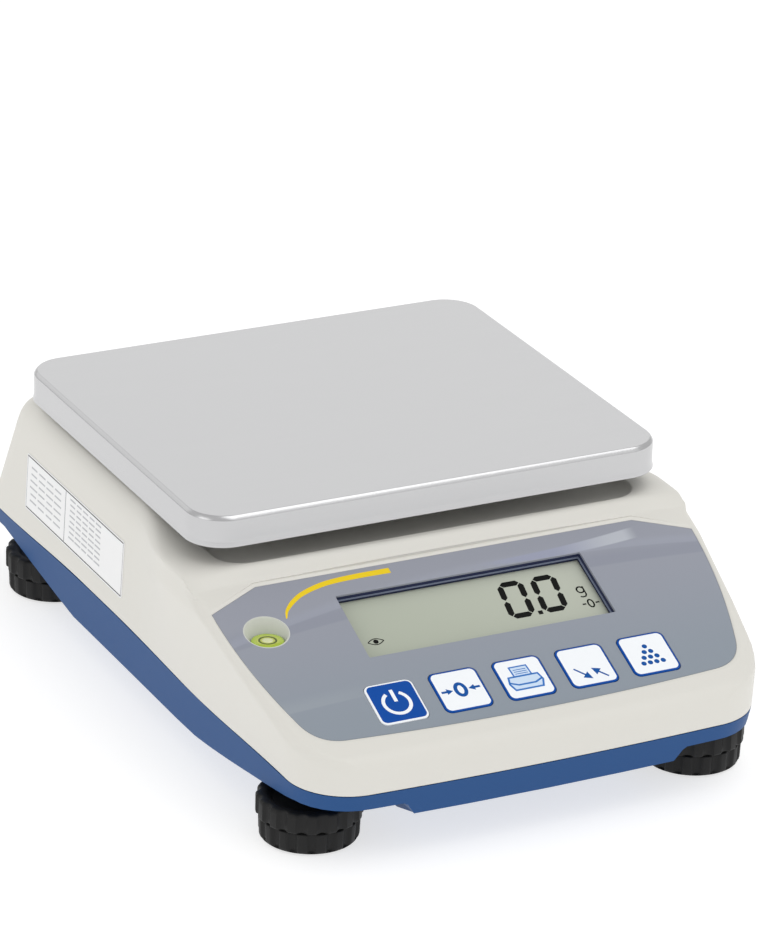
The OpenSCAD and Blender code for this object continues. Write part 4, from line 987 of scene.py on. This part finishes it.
dome += [(1.9 * math.cos(a), S + 3.76 + 0.3 * math.sin(a)) for a in np.radians(np.linspace(0, 88, 8))]
bubble = turned("vial_bubble_skin", dome, bubble_shade, LEVEL_X, level_y)
show(bubble, "housing", "level_green")

well_shade = Shade("well_white", linear(206, 208, 200), 0.4, Specular_IOR_Level=0.3)
brim = [on_console(lifted(offset(well_mouth, d), h))
        for d, h in ((0.35, -1.3), (0.35, -0.4), (0.25, -0.24), (0.0, -0.24), (-0.35, -0.6))]
foot = [lifted(circle(r, 64, LEVEL_X, level_y), S + z)
        for r, z in ((6.2, 2.6), (5.85, 2.0), (5.85, 1.45), (7.0, 1.45))]
well_points, well_faces = stitched(brim + foot, closed=True)
show(mesh_object("level_well", well_points, well_faces, well_shade, 40), "housing", "housing_white")

# %% [markdown]
# ## Geometry Nodes
#
# A node group is built with the same wrapper as the shaders. `Graph.apply` puts the group on an
# object, sets its inputs by their identifiers, and keeps the finished mesh.

# %% Graph helper
class Graph(Tree):
    def __init__(self, name, inputs):
        self.group = bpy.data.node_groups.new(name, "GeometryNodeTree")
        self.nodes, self.links = self.group.nodes, self.group.links
        self.group.interface.new_socket("Geometry", in_out="INPUT", socket_type="NodeSocketGeometry")
        self.group.interface.new_socket("Geometry", in_out="OUTPUT", socket_type="NodeSocketGeometry")
        self.names = {}
        for key, (kind, value) in inputs.items():
            socket = self.group.interface.new_socket(key, in_out="INPUT", socket_type="NodeSocket" + kind)
            if value is not None:
                socket.default_value = value
            self.names[key] = socket.identifier
        self.entry = self.nodes.new("NodeGroupInput")
        self.exit = self.nodes.new("NodeGroupOutput")

    def input(self, key):
        return Sock(self, self.entry.outputs[key])

    def out(self, node, index=0):
        return Sock(self, node.outputs[index])

    def finish(self, geometry):
        real = self.node("GeometryNodeRealizeInstances", values={0: geometry})
        painted = self.node("GeometryNodeSetMaterial",
                            values={"Geometry": self.out(real), "Material": self.input("Material")})
        self.put(self.exit.inputs[0], self.out(painted))

    def apply(self, obj, **values):
        modifier = obj.modifiers.new("nodes", "NODES")
        modifier.node_group = self.group
        for key, value in values.items():
            modifier[self.names[key]] = value
        bake(obj)
        return obj


def bare(name, points=(), edges=()):
    """An object that has only points and edges, as the start of a node group."""
    mesh = bpy.data.meshes.new(name)
    mesh.from_pydata([list(p) for p in points], list(edges), [])
    obj = bpy.data.objects.new(name, mesh)
    bpy.context.scene.collection.objects.link(obj)
    return obj


# %% [markdown]
# ## Levelling feet
#
# The profile of a knob is a line of points. The group turns it about the axis and presses the
# grooves into it: at each angle the radius may not pass the floor of the groove.

# %% Knobs
knobs = Graph("turned_knob", {
    "Turns": ("Int", 240), "Profile": ("Int", 12), "Grooves": ("Float", 16.0),
    "Radius": ("Float", 18.2), "Groove": ("Float", 2.4), "Shallow": ("Float", 1.3),
    "Tier": ("Float", 7.8), "Inner": ("Float", 16.8), "Place": ("Vector", (0, 0, 0)),
    "Material": ("Material", None)})
given, add, out = knobs.input, knobs.node, knobs.out
turns, rows = given("Turns"), given("Profile")
grid = add("GeometryNodeMeshGrid", values={"Vertices X": turns + 1, "Vertices Y": rows})
index = out(add("GeometryNodeInputIndex"))
column = (index / rows + 0.0001).math("FLOOR")
row = (index - column * rows + 0.1).math("FLOOR")
angle = column / turns * (2 * math.pi)
position = out(add("GeometryNodeInputPosition"))
sample = add("GeometryNodeSampleIndex", {"data_type": "FLOAT_VECTOR", "domain": "POINT"},
             {"Geometry": given("Geometry"), "Value": position, "Index": row})
profile_xyz = add("ShaderNodeSeparateXYZ", values={0: out(sample)})
radius, height = out(profile_xyz, 0), out(profile_xyz, 2)
shift = height.math("LESS_THAN", given("Tier")) * 0.5
share = (angle * given("Grooves") / (2 * math.pi) + shift).math("FRACT") - 0.5
across = share * given("Radius") * (2 * math.pi) / given("Grooves")
depth = (given("Groove").math("POWER", 2) - across * across).math("MAXIMUM", 0.0).math("SQRT")
depth = (depth - given("Shallow")).math("MAXIMUM", 0.0)
turned_r = radius - depth * radius.math("GREATER_THAN", given("Inner"))
spot = out(add("ShaderNodeCombineXYZ", values={
    0: turned_r * angle.math("COSINE"), 1: turned_r * angle.math("SINE"), 2: height}))
spot = out(add("ShaderNodeVectorMath", {"operation": "ADD"}, {0: spot, 1: given("Place")}))
metres = out(add("ShaderNodeVectorMath", {"operation": "SCALE"}, {0: spot, "Scale": 0.001}))
shaped = out(add("GeometryNodeSetPosition", values={"Geometry": out(grid), "Position": metres}))
merged = add("GeometryNodeMergeByDistance", values={"Geometry": shaped, "Distance": 0.00001})
knobs.finish(out(merged))

KNOB_R, KNOB_TOP, SOLE, FOOT_X, FOOT_Y = 18.2, 15.8, 2.4, 73.6, 109.5
tier = SOLE + 5.9
skirt = [(0, SOLE + 0.15), (15.3, SOLE + 0.15), (15.3, 0.9), (16.0, 0.7), (16.5, 0.85), (16.9, 1.3),
         (17.1, 2.0), (17.3, tier - 0.7), (17.2, tier - 0.25), (17.0, tier - 0.1)]
upper_tier = [(17.0, tier + 0.1), (17.6, tier + 0.25), (18.05, tier + 0.6), (KNOB_R, tier + 1.2),
              (KNOB_R, KNOB_TOP - 1.2), (18.1, KNOB_TOP - 0.6), (17.8, KNOB_TOP - 0.2),
              (17.3, KNOB_TOP), (KNOB_R - 3.8, KNOB_TOP), (KNOB_R - 4.2, KNOB_TOP - 0.3)]
stud = [(KNOB_R - 5.5, KNOB_TOP - 1.6), (4.1, KNOB_TOP - 1.6), (4.0, KNOB_TOP - 1.5), (4.0, 33.6),
        (3.6, 34), (0, 34)]
outline = skirt + upper_tier + stud
sole_profile = [(0, 0), (14.3, 0), (14.9, 0.4), (15.0, SOLE - 0.5), (14.6, SOLE - 0.1),
                (13.0, SOLE), (0, SOLE)]
corners = {"front_left": (-1, -1), "front_right": (1, -1), "rear_left": (-1, 1), "rear_right": (1, 1)}
for corner, (sx, sy) in corners.items():
    x, y = sx * FOOT_X, sy * FOOT_Y
    edges = [(i, i + 1) for i in range(len(outline) - 1)]
    knob = bare("knob_%s_skin" % corner, [(r, 0, z) for r, z in outline], edges)
    knobs.apply(knob, Turns=240, Profile=len(outline), Grooves=16.0, Radius=KNOB_R, Groove=2.4,
                Shallow=1.3, Tier=tier, Inner=16.8, Place=(x, y, 0.0),
                Material=MATERIALS["knob_black"].material)
    tidy(knob, 40)
    show(knob, "knob_" + corner, "knob_black", "knob_" + corner)
    sole = turned("sole_%s_skin" % corner, sole_profile, MATERIALS["rubber_black"], x, y)
    show(sole, "sole_" + corner, "rubber_black", "sole_" + corner)

# %% [markdown]
# ## The label on the left side
#
# The real label carries text. Here it has only its lines and rows of plain grey bars, which a
# second node group lays out with random lengths.

# %% Label
LABEL_L, LABEL_H = 88.0, 21.5
label_base = np.array([-88.105, 57.5, 48.5])
reading = np.array([0, -1, 0])
label_up, outward = np.array([0.0523, 0, 0.9986]), np.array([-0.9986, 0, 0.0523])


def on_label(points):
    p = np.asarray(points, float)
    return label_base + p[:, :1] * reading + p[:, 1:2] * label_up + p[:, 2:3] * outward


plate = rounded(LABEL_L, LABEL_H, 0.8, 4)
plate = prism("label_plate", plate, -0.3, 0.22, MATERIALS["label_white"], on_label)
show(plate, "housing", "label_white", "rating_label")
line_shade = Shade("label_line", linear(30, 30, 32), 0.5)
frame_lines = [line for v in (10.05, -10.05) for line in stroke([(-43.3, v), (43.3, v)], 0.42)]
show(ink("label_lines", frame_lines, 0.25, line_shade, 0.03, on_label), "housing", "label_white")
thin_shade = Shade("label_thin_line", linear(150, 150, 154), 0.5)
thin_lines = []
for u, v, width in ((-8.0, 9.7, 0.45), (43.3, 9.8, 0.3), (-43.3, 9.8, 0.25)):
    thin_lines += stroke([(u, -v), (u, v)], width)
show(ink("label_thin_lines", thin_lines, 0.25, thin_shade, 0.03, on_label), "housing", "label_white")

bars = Graph("label_bars", {
    "Rows": ("Int", 6), "Columns": ("Int", 3), "Width": ("Float", 30.0), "Height": ("Float", 15.0),
    "Bar": ("Float", 0.7), "Seed": ("Int", 4), "Material": ("Material", None)})
given, add, out = bars.input, bars.node, bars.out
field = add("GeometryNodeMeshGrid", values={"Size X": given("Width"), "Size Y": given("Height"),
                                            "Vertices X": given("Columns"), "Vertices Y": given("Rows")})
cell = given("Width") / (given("Columns") - 1)
size = add("ShaderNodeCombineXYZ", values={0: cell, 1: given("Bar"), 2: 0.03})
bar = add("GeometryNodeMeshCube", values={"Size": out(size)})
chance = add("FunctionNodeRandomValue", {"data_type": "FLOAT"}, {"Seed": given("Seed")})
limits = [s for s in chance.inputs if s.name in ("Min", "Max") and s.type == "VALUE"]
for socket, value in zip(limits, (0.68, 0.93)):
    socket.default_value = value
length = Sock(bars, [s for s in chance.outputs if s.type == "VALUE"][0])
stretch = add("ShaderNodeCombineXYZ", values={0: length, 1: 1.0, 2: 1.0})
placed = add("GeometryNodeInstanceOnPoints",
             values={"Points": out(field), "Instance": out(bar), "Scale": out(stretch)})
bars.finish(out(placed))
bar_shade = Shade("label_bar", linear(188, 189, 192), 0.5)
for name, cx, cy, width, height, columns, rows, seed in (
        ("label_text_right", 10.0, 0.9, 23.0, 14.6, 5, 8, 4),
        ("label_text_left", -26.0, 0.2, 22.0, 13.0, 4, 6, 9)):
    text = bars.apply(bare(name), Rows=rows, Columns=columns, Width=width, Height=height, Bar=0.65,
                      Seed=seed, Material=bar_shade.material)
    places = np.array([v.co[:] for v in text.data.vertices]) + np.array([cx, cy, 0.245])
    for vertex, place in zip(text.data.vertices, on_label(places) * 0.001):
        vertex.co = place
    show(tidy(text), "housing", "label_white")

# %% [markdown]
# ## The other parts
#
# The parts that show only from behind, from below or with the pan off keep their CAD form. Each
# gets a merged copy, so that its round faces look round.

# %% Copies of the remaining parts
body_of_node = {}
for body, members in frame["record"]["behaviour"]["bodies"].items():
    for node in members:
        body_of_node[node] = body
done = {o.name.replace("_skin", "") for o in bpy.data.objects}
done |= {"upper_housing", "lower_housing", "weighing_pan", "keypad_overlay", "display_glass",
         "display_frame", "level_vial", "rating_label"}
for node in sorted(frame["nodes"]):
    if node not in done:
        show(copy_of(node, MATERIALS[slots[node]], 28), body_of_node[node], slots[node], node)

# %% [markdown]
# ## Stage, light and sky
#
# A pale floor and soft boxes, as in a studio.

# %% Stage and lights
floor_shade = Shade("floor_pale", (0.45, 0.45, 0.45, 1.0), 0.8,
                    Emission_Color=(1.0, 1.0, 1.0, 1.0), Emission_Strength=0.67)
floor_points = [(x, y, -0.05) for x in (-3000, 3000) for y in (-3000, 3000)]
floor = mesh_object("floor", floor_points, [(0, 2, 3, 1)], floor_shade)


def soft_box(name, place, target, width, height, watts):
    light = bpy.data.lights.new(name, "AREA")
    light.shape = "RECTANGLE"
    light.size, light.size_y, light.energy = width, height, watts
    lamp = bpy.data.objects.new(name, light)
    bpy.context.scene.collection.objects.link(lamp)
    lamp.location = place
    lamp.rotation_euler = (Vector(target) - Vector(place)).to_track_quat("-Z", "Y").to_euler()


soft_box("top_light", (0.4, -0.5, 1.4), (0, 0, 0.05), 1.3, 0.9, 5)
soft_box("front_light", (0.7, -1.15, 0.85), (0, 0, 0.08), 1.2, 1.2, 1.2)
soft_box("back_light", (0.75, 1.45, 0.8), (0, 0, 0.08), 1.5, 0.8, 1.5)
soft_box("rim_light", (-0.7, 1.45, 0.75), (0, 0, 0.08), 1.0, 0.8, 0.9)
soft_box("left_light", (-1.5, -0.3, 0.8), (0, 0, 0.05), 0.9, 0.9, 2.6)

world = bpy.data.worlds.new("studio")
world.use_nodes = True
world.node_tree.nodes["Background"].inputs[0].default_value = (1, 1, 1, 1)
world.node_tree.nodes["Background"].inputs[1].default_value = 0.72
bpy.context.scene.world = world
bpy.context.scene.view_settings.view_transform = "Standard"
